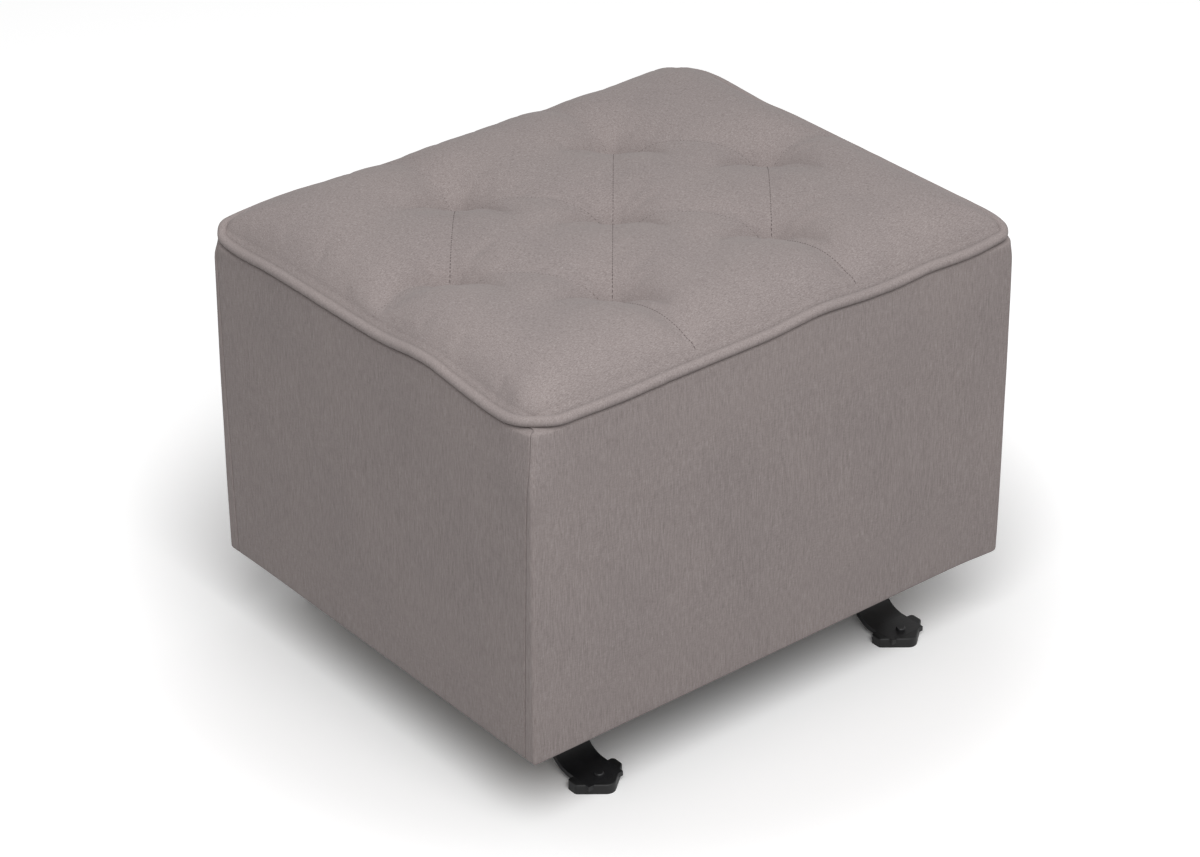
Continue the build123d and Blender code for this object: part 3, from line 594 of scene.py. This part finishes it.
seat = np.stack([PX, PY, target], -1)
for (sx, sy), push in zip(CORNER_SIDES, WELT_PUSH):
    near = np.exp(-((np.hypot(PX - sx * HALF_WIDTH, PY - sy * HALF_DEPTH) / SEAT_PUSH_REACH) ** 2))
    seat[..., 0] += sx * push * near
    seat[..., 1] += sy * push * near
moved = relax_cloth()
length = np.linalg.norm(moved, axis=-1, keepdims=True)
moved = moved * (np.tanh(length / CAP) * CAP / np.maximum(length, 1e-6))
seat = seat + np.stack([refine(moved[..., k], NX, NY) for k in range(3)], -1)


def seat_at(x, y):
    """Height of the finished seat at a place."""
    i = np.clip(np.interp(x, grid_x, np.arange(NX)), 0, NX - 1.001)
    j = np.clip(np.interp(y, grid_y, np.arange(NY)), 0, NY - 1.001)
    i0, j0 = np.floor(i).astype(int), np.floor(j).astype(int)
    fi, fj = i - i0, j - j0
    z = seat[..., 2]
    return ((z[i0, j0] * (1 - fi) + z[i0 + 1, j0] * fi) * (1 - fj)
            + (z[i0, j0 + 1] * (1 - fi) + z[i0 + 1, j0 + 1] * fi) * fj)


def make_seat():
    """The closed cushion: its top, sides that go down inside the side covers, and a flat base on the deck."""
    top = seat.reshape(-1, 3)
    faces = grid_faces(NX, NY)
    ring = (
        [i * NY for i in range(NX)]
        + [(NX - 1) * NY + j for j in range(1, NY)]
        + [i * NY + NY - 1 for i in range(NX - 2, -1, -1)]
        + [j for j in range(NY - 2, 0, -1)]
    )
    verts = [top]
    levels = [(0.99, 0.12), (0.985, 0.45), (0.985, 0.85), (0.975, 1.0)]  # shares of plan size and way down
    rim = top[ring]
    start, before = len(top), ring
    base = DECK_TOP + 0.5
    for inward, down in levels:
        level = rim * [inward, inward, 1]
        level[:, 2] = rim[:, 2] + (base - rim[:, 2]) * down
        verts.append(level)
        now = list(range(start, start + len(ring)))
        for a in range(len(ring)):
            b = (a + 1) % len(ring)
            faces.append((before[b], before[a], now[a], now[b]))
        start, before = start + len(ring), now
    middle = np.array([[0.0, 0.0, base]])
    verts.append(middle)
    for a in range(len(ring)):
        faces.append((before[(a + 1) % len(ring)], before[a], start))
    faces = [f[::-1] for f in faces]
    obj = make_mesh("seat_cushion", np.concatenate(verts), faces)
    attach(obj, BODY)
    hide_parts("seat_cover", "seat_foam")
    return obj


# ---------- tubes
def tube(points, radius, sides, closed=False):
    """Points and quads of a round tube along a line of points."""
    p = np.asarray(points, float)
    ahead = np.roll(p, -1, 0) - np.roll(p, 1, 0) if closed else np.gradient(p, axis=0)
    t = ahead / np.linalg.norm(ahead, axis=1, keepdims=True)
    up = np.array([0.0, 0.0, 1.0])
    side = np.cross(t, up)
    weak = np.linalg.norm(side, axis=1) < 1e-3
    side[weak] = np.cross(t[weak], [1.0, 0.0, 0.0])
    side /= np.linalg.norm(side, axis=1, keepdims=True)
    lift = np.cross(side, t)
    a = np.linspace(0, math.tau, sides, endpoint=False)
    radius = np.broadcast_to(np.asarray(radius, float), (len(p),))
    ring = p[:, None] + radius[:, None, None] * (
        side[:, None] * np.cos(a)[None, :, None] + lift[:, None] * np.sin(a)[None, :, None]
    )
    verts = ring.reshape(-1, 3)
    count = len(p)
    faces = grid_faces(count, sides, wrap=True)
    if closed:
        last = (count - 1) * sides
        faces += [(last + j, last + (j + 1) % sides, (j + 1) % sides, j) for j in range(sides)]
    else:
        faces += [tuple(range(sides))[::-1], tuple((count - 1) * sides + j for j in range(sides))]
    return verts, faces


def join_parts(parts):
    """One list of points and one of faces from several."""
    verts, faces, start = [], [], 0
    for v, f in parts:
        verts.append(v)
        faces += [tuple(start + k for k in face) for face in f]
        start += len(v)
    return np.concatenate(verts), faces


# ---------- seams on the seat
STITCH_PITCH, STITCH_LENGTH, STITCH_RADIUS = 3.3, 2.3, 0.3
STITCH_ENDS, STITCH_MIDDLE = -0.35, 0.12  # height of a stitch's ends and middle over the cloth
FAINT_SINK = 0.33  # how much deeper the stitches of the fainter seams lie


def make_stitches():
    """Thread stitches along each seam; their dark thread is partly painted shading of the seam grooves. Those
    along one diagonal and out to the front show the most.
    """
    parts = []
    for (x0, y0), (x1, y1) in seam_lines():
        length = math.hypot(x1 - x0, y1 - y0)
        clear = (x1 - x0) * (y1 - y0) > 0 or y1 < -ROW - 1
        sink = 0.0 if clear else FAINT_SINK
        heights = np.array([STITCH_ENDS, STITCH_MIDDLE, STITCH_MIDDLE, STITCH_ENDS]) - sink
        for k in range(int(length / STITCH_PITCH)):
            s = (np.linspace(0, STITCH_LENGTH, 4) + k * STITCH_PITCH + 0.5) / length
            if s[-1] > 1:
                break
            x, y = x0 + (x1 - x0) * s, y0 + (y1 - y0) * s
            parts.append(tube(np.stack([x, y, seat_at(x, y) + heights], -1), STITCH_RADIUS, 6))
    obj = make_mesh("seat_stitches", *join_parts(parts))
    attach(obj, BODY)
    return obj


def make_tuft_ties():
    """The loop of twine that shows at the bottom of each blind tuft, in dark thread: painted shading in the
    tuft's pit.
    """
    parts = []
    loop_radius, loop_sink, loop_rise, thread_radius = 1.7, 0.8, 1.3, 0.45
    a = np.linspace(0, math.pi, 9)
    for tx, ty in TUFTS:
        height = float(seat_at(tx, ty)) - loop_sink + loop_rise * np.sin(a)
        for turn in (0.5, 2.1):
            r = loop_radius * np.cos(a)
            line = np.stack([tx + r * math.cos(turn), ty + r * math.sin(turn), height], -1)
            parts.append(tube(line, thread_radius, 6))
    obj = make_mesh("tuft_ties", *join_parts(parts))
    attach(obj, BODY)
    return obj


def make_twine():
    """Two-ply twine from each tuft down to its toggle."""
    parts = []
    lay, ply_offset, ply_radius, top_gap = 9.0, 0.72, 0.75, 0.6
    for tx, ty in TUFTS:
        z = np.linspace(TWINE_LOW, float(seat_at(tx, ty)) - top_gap, 60)
        for ply_turn in (0, math.pi):
            a = (z - TWINE_LOW) / lay * math.tau + ply_turn
            line = np.stack([tx + ply_offset * np.cos(a), ty + ply_offset * np.sin(a), z], -1)
            parts.append(tube(line, ply_radius, 7))
    obj = make_mesh("tuft_twine_plies", *join_parts(parts))
    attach(obj, BODY)
    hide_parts("tuft_twine")
    return obj


# ---------- outline of the body
# Places of the corners along the outline, counted from the middle of the front face towards +X.
CORNERS = [
    HALF_WIDTH, HALF_WIDTH + 2 * HALF_DEPTH,
    3 * HALF_WIDTH + 2 * HALF_DEPTH, 3 * HALF_WIDTH + 4 * HALF_DEPTH,
]
PERIMETER = 4 * (HALF_WIDTH + HALF_DEPTH)


def outline_point(p, radii, inset=0.0):
    """Points and outward normals at the distances p along the sharp-cornered outline, counted from the middle
    of the front face towards +X, for corners with the given radii and a line drawn in by inset."""
    p = np.mod(np.asarray(p, float), PERIMETER)
    side = np.searchsorted(CORNERS, p, side="right") % 4  # 0 front, 1 right, 2 rear, 3 left
    along = [p, p - CORNERS[0] - HALF_DEPTH, CORNERS[1] + HALF_WIDTH - p, CORNERS[2] + HALF_DEPTH - p]
    along[0] = np.where(p > CORNERS[3], p - PERIMETER, p)
    x = np.choose(side, [along[0], HALF_WIDTH - inset + 0 * p, along[2], inset - HALF_WIDTH + 0 * p])
    y = np.choose(side, [inset - HALF_DEPTH + 0 * p, along[1], HALF_DEPTH - inset + 0 * p, along[3]])
    nx, ny = np.choose(side, [0, 1, 0, -1]) + 0.0 * p, np.choose(side, [-1, 0, 1, 0]) + 0.0 * p
    for k, (corner, (sx, sy), radius) in enumerate(zip(CORNERS, CORNER_SIDES, radii)):
        radius = np.maximum(radius, inset + 0.01)
        here = np.abs(p - corner) < radius
        turn = (k - 1 + np.clip((p - corner + radius) / (2 * radius), 0, 1)) * math.pi / 2
        arc = radius - inset
        x = np.where(here, sx * (HALF_WIDTH - radius) + arc * np.cos(turn), x)
        y = np.where(here, sy * (HALF_DEPTH - radius) + arc * np.sin(turn), y)
        nx, ny = np.where(here, np.cos(turn), nx), np.where(here, np.sin(turn), ny)
    return x, y, nx, ny


def from_corners(p):
    """Distances along the outline past each corner, negative before it."""
    return [np.mod(p - corner + PERIMETER / 2, PERIMETER) - PERIMETER / 2 for corner in CORNERS]


def corner_push(p):
    """How far the welt and the cloth under it are pushed out at each corner."""
    return sum(push * np.exp(-((gap / PUSH_REACH) ** 2)) for gap, push in zip(from_corners(p), WELT_PUSH))


def corner_distance(p):
    """0 at a corner, 1 outside the corner's own zone."""
    gaps = [np.abs(gap) for gap in from_corners(np.asarray(p, float))]
    return smooth_steps(np.min(gaps, 0) / CORNER_ZONE)


WELT_POINTS = 1400  # along the welt
WELT_WANDER, WELT_LUMPS = 0.35, 0.12  # unevenness of its line and of its radius


def make_welt():
    """The covered cord round the seat, with the slight unevenness of a sewn one."""
    p = np.arange(WELT_POINTS) / WELT_POINTS * PERIMETER
    x, y, nx, ny = outline_point(p, WELT_CORNERS, WELT_RADIUS)
    wander = WELT_WANDER * smooth_noise(31, 9, 0.004, 0.03)(p, 0 * p)
    out = wander + corner_push(p) + WELT_OVERHANG * corner_distance(p)
    line = np.stack([x + nx * out, y + ny * out, welt_height(x, y)], -1)
    size = WELT_RADIUS + WELT_LUMPS * smooth_noise(32, 9, 0.01, 0.06)(p, 0 * p)
    obj = make_mesh("welt_cord", *tube(line, size, 20, closed=True))
    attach(obj, BODY)
    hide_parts("welt")
    return obj


# ---------- side covers
EDGE_ROUND = 3.5  # of the covers' bottom edges
COVER_TOP = 4.6  # from the welt's middle down to the covers' tops
SHOULDER, SHOULDER_INSET = 5.0, 7.0  # height and depth of the rounding under the welt
SEAM_TOP, SEAM_LOW = 5.0, 14.0  # from a corner to its seam on the side face, under the welt and at the hem
SEAM_ROLL, SEAM_SINK = 2.0, 1.6  # the cloth rolls into a corner seam over this width and to this depth
CORNER_OPENINGS = (19.0, 40.0, 19.0, 60.0)  # height over which each corner opens out under the welt
OPENING_TOP = 3.0  # it is whole this far below the covers' tops
CORNER_SHARES = (0.5, 0.6, 1.0, 0.22)  # how far it comes towards the welt's plan radius
CORNER_FILL, FILL_REACH = (2.8, 0.8, 0.9, 0.0), 30.0  # how far each corner stands out at the hem
CORNER_DRAW, DRAW_REACH = 5.5, 24.0  # how far the front left corner is drawn in under the welt
BULGE, COVER_RIPPLE = 1.0, 0.4  # fullness and unevenness of the faces between the welt and the hem
TUCK, TUCK_REACH = 1.0, 50.0  # how far the faces are drawn in under the welt between the corners
COLUMN_NEAR, COLUMN_FAR = 12, 60  # from a corner to where a cover's columns of points get wider apart


def cover_rows():
    """Sections of a side cover from under the welt to the end of its hem: its kind and its place in it."""
    rows = [("top", a) for a in np.linspace(0, math.pi / 2, 7)]
    rows += [("face", t) for t in np.linspace(0, 1, 76)[1:-1]]
    rows += [("turn", a) for a in np.linspace(0, math.pi / 2, 6)]
    rows += [("hem", t) for t in np.linspace(0, 1, 8)[1:]]
    return rows


def cover_columns(breaks, share):
    """Places along the outline at one height. breaks has, for each stretch's start, its place at the hem, its
    place under the welt and the number of columns up to the next."""
    places = [low + (high - low) * share for low, high, _ in breaks]
    runs = [np.linspace(a, b, n, endpoint=False) for a, b, (_, _, n) in zip(places, places[1:], breaks)]
    return np.concatenate([*runs, places[-1:]])


def cover_points(breaks, row, inward, ripple):
    """One section of a cover. inward is 0 for its outer side and the thickness for its inner side."""
    kind, t = row
    face_low = FLOOR_GAP + EDGE_ROUND
    level = {"top": 1.0, "face": 1 - t}.get(kind, 0.0)
    p = cover_columns(breaks, level)
    top_x, top_y, _, _ = outline_point(p, WELT_CORNERS)
    top = welt_height(top_x, top_y) - COVER_TOP
    face_top = top - SHOULDER
    inset, z = 0.0, face_top + (face_low - face_top) * t
    if kind == "top":
        inset = SHOULDER_INSET * (2 - corner_distance(p)) * (1 - math.sin(t))
        z = top - SHOULDER * (1 - math.cos(t))
    elif kind == "turn":
        inset = EDGE_ROUND * (1 - math.cos(t)) + inward * math.cos(t)
        z = 0 * p + FLOOR_GAP + EDGE_ROUND * (1 - math.sin(t)) + inward * math.sin(t)
    elif kind == "hem":
        inset, z = EDGE_ROUND + (HEM - EDGE_ROUND) * t, 0 * p + FLOOR_GAP + inward
    if kind in ("top", "face"):
        inset = inset + inward
    high = np.clip((z - FLOOR_GAP) / (top - FLOOR_GAP), 0, 1)
    opening = [smooth_steps((z - (top - rise - OPENING_TOP)) / rise) for rise in CORNER_OPENINGS]
    radii = [
        LOW_RADIUS + (radius - LOW_RADIUS) * share * part
        for radius, share, part in zip(WELT_CORNERS, CORNER_SHARES, opening)
    ]
    x, y, nx, ny = outline_point(p, radii, inset)
    full = 0.0
    if kind != "hem":
        bow = np.sin(math.pi * high)
        full = BULGE * bow**0.6 + COVER_RIPPLE * ripple(p, z) * bow**0.5
        full = full + corner_push(p) * opening[0]
        away = from_corners(p)
        full = full - CORNER_DRAW * np.exp(-((away[3] / DRAW_REACH) ** 2)) * opening[3]
        filled = sum(fill * np.exp(-((gap / FILL_REACH) ** 2)) for fill, gap in zip(CORNER_FILL, away))
        full = full + filled * (1 - high) ** 0.8
        full = full - TUCK * smooth_steps((z - top + TUCK_REACH) / TUCK_REACH) * corner_distance(p)
        edge = np.minimum(np.abs(p - p[0]), np.abs(p - p[-1])) / SEAM_ROLL
        full = full - SEAM_SINK * (1 - np.sqrt(np.clip(1 - (1 - np.minimum(edge, 1)) ** 2, 0, 1)))
    return np.stack([x + nx * full, y + ny * full, z], -1)


def make_cover(name, breaks, seed):
    """A side cover between two corner seams, standing for the node of its name and the wadding under it."""
    ripple = smooth_noise(seed, 8, 0.003, 0.012)
    rows = cover_rows()
    sheets = [cover_points(breaks, row, inward, ripple) for inward in (0.0, COVER) for row in rows]
    count, cols = len(rows), len(sheets[0])
    back = count * cols
    faces = grid_faces(count, cols, flip=True) + grid_faces(count, cols, start=back)
    last = (count - 1) * cols
    for j in range(cols - 1):
        faces.append((j, j + 1, back + j + 1, back + j))
        faces.append((last + j + 1, last + j, back + last + j, back + last + j + 1))
    for i in range(count - 1):
        a, b = i * cols, (i + 1) * cols
        faces.append((a, back + a, back + b, b))
        faces.append((back + a + cols - 1, a + cols - 1, b + cols - 1, back + b + cols - 1))
    obj = make_mesh(f"{name}_cover_cloth", np.concatenate(sheets), faces)
    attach(obj, BODY)
    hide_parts(f"{name}_cover", f"{name}_wadding")
    return obj


DUST_NOTCH = 38.0  # the sheet's corners are cut back this far round the posts
DUST_SINK, DUST_SAG, DUST_RIPPLE = 0.6, 2.2, 0.8  # the sheet is this far below its CAD part's top, and sags
# and waves by this much
DUST_SHEET, DUST_FLAP = 0.7, 0.8  # thickness of the sheet and of its turned-down edges


def dust_sheet(high):
    """Points and faces of the flat part, which sags between its stapled edges."""
    n = 60
    u, v = np.meshgrid(np.linspace(-1, 1, n), np.linspace(-1, 1, n), indexing="ij")
    slack = smooth_noise(61, 7, 0.004, 0.012)
    x, y = u * high[0], v * high[1]
    cut = (np.abs(x) > high[0] - DUST_NOTCH - 1) & (np.abs(y) > high[1] - DUST_NOTCH - 1)
    sag = DUST_SAG * (1 - u**2) * (1 - v**2)
    z = high[2] - DUST_SINK - sag + DUST_RIPPLE * slack(x, y) * (1 - u**4) * (1 - v**4)
    upper = np.stack([x, y, z], -1).reshape(-1, 3)
    keep = ~(cut[:-1, :-1] & cut[1:, 1:] & cut[1:, :-1] & cut[:-1, 1:])
    faces, edges = [], {}  # edges keeps the order in which the quads give them
    for i in range(n - 1):
        for j in range(n - 1):
            if keep[i, j]:
                quad = (i * n + j, (i + 1) * n + j, (i + 1) * n + j + 1, i * n + j + 1)
                faces.append(quad)
                edges.update(dict.fromkeys(zip(quad, quad[1:] + quad[:1])))
    count = n * n
    under = [tuple(count + k for k in f[::-1]) for f in faces]
    rim = [(b, a, count + a, count + b) for a, b in edges if (b, a) not in edges]
    verts = np.concatenate([upper, upper - [0, 0, DUST_SHEET]])
    used = sorted({k for f in faces + under + rim for k in f})
    where = {old: new for new, old in enumerate(used)}
    return verts[used], [tuple(where[k] for k in f) for f in faces + under + rim]


def dust_flap(high, depth, side, axis, length):
    """Points and faces of one edge, turned down along its board."""
    steps, m = 5, 40
    t = np.linspace(-length, length, m)
    rows = []
    for inward in (0.0, DUST_FLAP):
        for d in np.linspace(0, 1, steps):
            col = np.zeros((m, 3))
            col[:, axis] = (high[axis] - inward) * side
            col[:, 1 - axis] = t
            col[:, 2] = high[2] - DUST_SINK - (depth - DUST_SINK) * d + 0.3 * np.sin(t / 17.0) * d
            rows.append(col)
    faces = grid_faces(steps, m) + grid_faces(steps, m, start=steps * m, flip=True)
    last, back = (steps - 1) * m, steps * m
    faces += [(j, j + 1, back + j + 1, back + j) for j in range(m - 1)]
    faces += [(last + j + 1, last + j, back + last + j, back + last + j + 1) for j in range(m - 1)]
    return np.concatenate(rows), faces


def make_dust_cover():
    """The black cloth under the deck: slack between its stapled edges."""
    low, high = (np.array(corner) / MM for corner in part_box("dust_cover"))
    depth = high[2] - low[2]
    parts = [dust_sheet(high)]
    for side in (-1, 1):
        for axis in (0, 1):
            parts.append(dust_flap(high, depth, side, axis, high[1 - axis] - DUST_NOTCH))
    obj = make_mesh("dust_cloth_sheet", *join_parts(parts))
    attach(obj, BODY)
    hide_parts("dust_cover")
    return obj


# ---------- pieces
seat_obj = make_seat()
stitches = make_stitches()
ties = make_tuft_ties()
twine = make_twine()
welt_obj = make_welt()

# Stretches of a cover's columns from a corner inwards: place at the hem, place under the welt, and the number
# of columns up to the next. The front and rear covers wrap round the corners to seams on the side faces.
WRAPPING = [
    (-SEAM_LOW, -SEAM_TOP, 4), (SEAM_ROLL - SEAM_LOW, SEAM_ROLL - SEAM_TOP, 10),
    (0, 0, 12), (COLUMN_NEAR, COLUMN_NEAR, 24), (COLUMN_FAR, COLUMN_FAR, 120),
]
BETWEEN = [
    (SEAM_LOW, SEAM_TOP, 4), (SEAM_LOW + SEAM_ROLL, SEAM_TOP + SEAM_ROLL, 26), (COLUMN_FAR, COLUMN_FAR, 96),
]


def mirrored(stretches, a, b):
    """The stretches of a whole cover between the corners at a and b, alike from both ends."""
    places = [(a + low, a + high) for low, high, _ in stretches]
    places += [(b - low, b - high) for low, high, _ in stretches[::-1]]
    counts = [n for _, _, n in stretches]
    return [(*place, n) for place, n in zip(places, counts + counts[-2::-1] + [0])]


covers = []
for name, first, last, seed, stretches in (
    ("front", 3, 0, 41, WRAPPING), ("rear", 1, 2, 42, WRAPPING),
    ("right", 0, 1, 43, BETWEEN), ("left", 2, 3, 44, BETWEEN),
):
    a, b = CORNERS[first] - (PERIMETER if first == 3 else 0), CORNERS[last]
    covers.append(make_cover(name, mirrored(stretches, a, b), seed))
dust = make_dust_cover()

# ---------- materials on the pieces
top_linen = linen("top_linen", "X", "Y", 1.0, (1500, 380), 1.25)
front_linen = linen("front_linen", "Z", "X", 1.0, (1300, 100), 1.6)
# painted shading: the left and right covers' tones are scaled darker than the front's
side_linen = linen("side_linen", "Z", "Y", 0.99, (1300, 100), 1.6)
# painted highlight: the welt's tones are scaled lighter than the faces'
welt_linen = linen("welt_linen", "Z", "X", 1.02, (1300, 200), 1.4)
seat_obj.data.materials.append(top_linen)
stitches.data.materials.append(thread_painted_shading("thread_painted_shading"))
# painted shading: the tuft ties take the dark thread, not the pale twine's colour
ties.data.materials.append(thread_painted_shading("tuft_tie_painted_shading"))
twine.data.materials.append(twine_fibre("twine_fibre"))
welt_obj.data.materials.append(welt_linen)
for obj in covers:
    on_long_face = obj.name in ("front_cover_cloth", "rear_cover_cloth")
    obj.data.materials.append(front_linen if on_long_face else side_linen)
dust.data.materials.append(dust_fabric("spunbond"))

black_steel = powder_coat("black_powder_coat")
black_plastic = moulded_plastic("black_foot_plastic", srgb(17, 17, 18), srgb(30, 30, 31))
nylon = moulded_plastic("natural_nylon", srgb(212, 208, 196), srgb(230, 228, 218), 0.35, 0.5)
toggle = moulded_plastic("toggle_plastic_grain", srgb(206, 202, 190), srgb(228, 226, 216), 0.4, 0.6)
bright_zinc = zinc("bright_zinc")
black_rubber = rubber("stop_rubber")
pale, dark = srgb(224, 190, 140), srgb(196, 154, 102)
pine_y, pine_z = (timber(f"pine_{a}", pale, dark, a) for a in "YZ")
NODE_MATERIALS = {
    "runner": black_steel, "side_plate": black_steel, "cross_tube": black_steel, "link": black_steel,
    "carriage_plate": black_steel, "foot_screws": black_steel, "foot": black_plastic, "link_bushes": nylon,
    "tuft_toggles": toggle, "stop_bumpers": black_rubber, "mechanism_cleat": pine_y, "corner_post": pine_z,
    "front_board": ply("ply_front", "Y"), "rear_board": ply("ply_rear", "Y"),
    "right_board": ply("ply_right", "X"), "left_board": ply("ply_left", "X"),
    "seat_deck": ply("ply_deck", "Z"),
}
for name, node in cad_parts.items():
    matches = [key for key in NODE_MATERIALS if name.endswith(key)]
    material = NODE_MATERIALS[max(matches, key=len)] if matches else bright_zinc
    if not node.data.materials:
        node.data.materials.append(material)
    for k in range(len(node.data.materials)):
        node.data.materials[k] = material

# ---------- camera, fitted to the photograph
CAMERA_PLACE = (-1.86394, -2.25334, 1.91004)  # metres
CAMERA_ANGLES = (59.81484, 0.01312, -39.37244)  # degrees about X, Y and Z
CAMERA_LENS, CAMERA_SENSOR = 107.25, 36.0
camera_data = bpy.data.cameras.new("camera")
camera = bpy.data.objects.new("camera", camera_data)
bpy.context.scene.collection.objects.link(camera)
bpy.context.scene.camera = camera
camera_data.lens = CAMERA_LENS
camera_data.sensor_width = CAMERA_SENSOR
camera_data.clip_start, camera_data.clip_end = 0.1, 100
angles = Euler([math.radians(a) for a in CAMERA_ANGLES])
camera.matrix_world = Matrix.LocRotScale(Vector(CAMERA_PLACE), angles, None)


# ---------- floor, world and lamps
FLOOR_HALF, FLOOR_POINTS = 7000, 24
FLOOR_GREY = 0.4
FLOOR_PAINTED_SPAN, FLOOR_PAINTED_LIGHT = (0.34, 0.62), (1.1, 1.5)  # painted light: the white that the camera sees rises over these distances from the middle, so the floor is painted darker near the ottoman
SKY = 0.46


def split_rays(kinds, nodes, links, lit, seen):
    """A shader that is seen for rays of the given kinds, and lit for all others."""
    path = nodes.new("ShaderNodeLightPath")
    share = path.outputs[f"Is {kinds[0]} Ray"]
    for kind in kinds[1:]:
        either = nodes.new("ShaderNodeMath")
        either.operation = "MAXIMUM"
        links.new(share, either.inputs[0])
        links.new(path.outputs[f"Is {kind} Ray"], either.inputs[1])
        share = either.outputs[0]
    mixed = nodes.new("ShaderNodeMixShader")
    links.new(share, mixed.inputs["Fac"])
    links.new(lit.outputs[0], mixed.inputs[1])
    links.new(seen.outputs[0], mixed.inputs[2])
    return mixed.outputs[0]


def make_floor():
    """White where the camera sees it, with painted light that rises away from the middle and leaves it
    painted darker near the ottoman, and a plain pale grey for the light that it throws back.
    """
    n, t = FLOOR_POINTS, np.linspace(-FLOOR_HALF, FLOOR_HALF, FLOOR_POINTS)
    x, y = np.meshgrid(t, t, indexing="ij")
    points = np.stack([x, y, 0 * x], -1).reshape(-1, 3)
    floor = make_mesh("floor", points, grid_faces(n, n, flip=True), smooth=False)
    material = bpy.data.materials.new("studio_floor")
    material.use_nodes = True
    nodes, links = material.node_tree.nodes, material.node_tree.links
    nodes.clear()
    out = nodes.new("ShaderNodeOutputMaterial")
    paint, white = nodes.new("ShaderNodeBsdfDiffuse"), nodes.new("ShaderNodeBsdfDiffuse")
    paint.inputs["Color"].default_value = (FLOOR_GREY, FLOOR_GREY, FLOOR_GREY, 1)
    # painted light: the seen white is scaled up with the distance from the middle, and painted darker near
    # the ottoman
    place, apart = nodes.new("ShaderNodeNewGeometry"), nodes.new("ShaderNodeVectorMath")
    painted_light_ramp = nodes.new("ShaderNodeMapRange")
    apart.operation = "LENGTH"
    links.new(place.outputs["Position"], apart.inputs[0])
    links.new(apart.outputs["Value"], painted_light_ramp.inputs["Value"])
    for socket, value in zip(("From Min", "From Max", "To Min", "To Max"), FLOOR_PAINTED_SPAN + FLOOR_PAINTED_LIGHT):
        painted_light_ramp.inputs[socket].default_value = value
    painted_light_ramp.interpolation_type = "SMOOTHSTEP"
    links.new(painted_light_ramp.outputs["Result"], white.inputs["Color"])
    links.new(split_rays(("Camera", "Glossy"), nodes, links, paint, white), out.inputs["Surface"])
    floor.data.materials.append(material)


def make_world(strength):
    """An even pale sky, white where it is seen."""
    world = bpy.data.worlds.new("studio")
    bpy.context.scene.world = world
    world.use_nodes = True
    nodes, links = world.node_tree.nodes, world.node_tree.links
    nodes.clear()
    out = nodes.new("ShaderNodeOutputWorld")
    seen_sky, light_sky = nodes.new("ShaderNodeBackground"), nodes.new("ShaderNodeBackground")
    seen_sky.inputs["Color"].default_value = light_sky.inputs["Color"].default_value = (1, 1, 1, 1)
    light_sky.inputs["Strength"].default_value = strength
    shown = split_rays(("Camera", "Glossy", "Transmission"), nodes, links, light_sky, seen_sky)
    links.new(shown, out.inputs["Surface"])


def lamp(name, place, aim, size, energy):
    """A round soft lamp at a place in metres, turned towards its aim."""
    data = bpy.data.lights.new(name, "AREA")
    data.shape, data.size, data.energy = "DISK", size, energy
    obj = bpy.data.objects.new(name, data)
    bpy.context.scene.collection.objects.link(obj)
    away = np.array(place, float) - np.array(aim, float)
    away /= np.linalg.norm(away)
    side = np.cross([0, 1, 0.001], away)
    side /= np.linalg.norm(side)
    lift = np.cross(away, side)
    obj.matrix_world = Matrix([[side[k], lift[k], away[k], place[k]] for k in range(3)] + [[0, 0, 0, 1]])


make_floor()
make_world(SKY)
lamp("key", (-1.0, -1.75, 2.9), (0, 0, 0.2), 2.8, 74)
bpy.context.scene.view_settings.view_transform = "Standard"
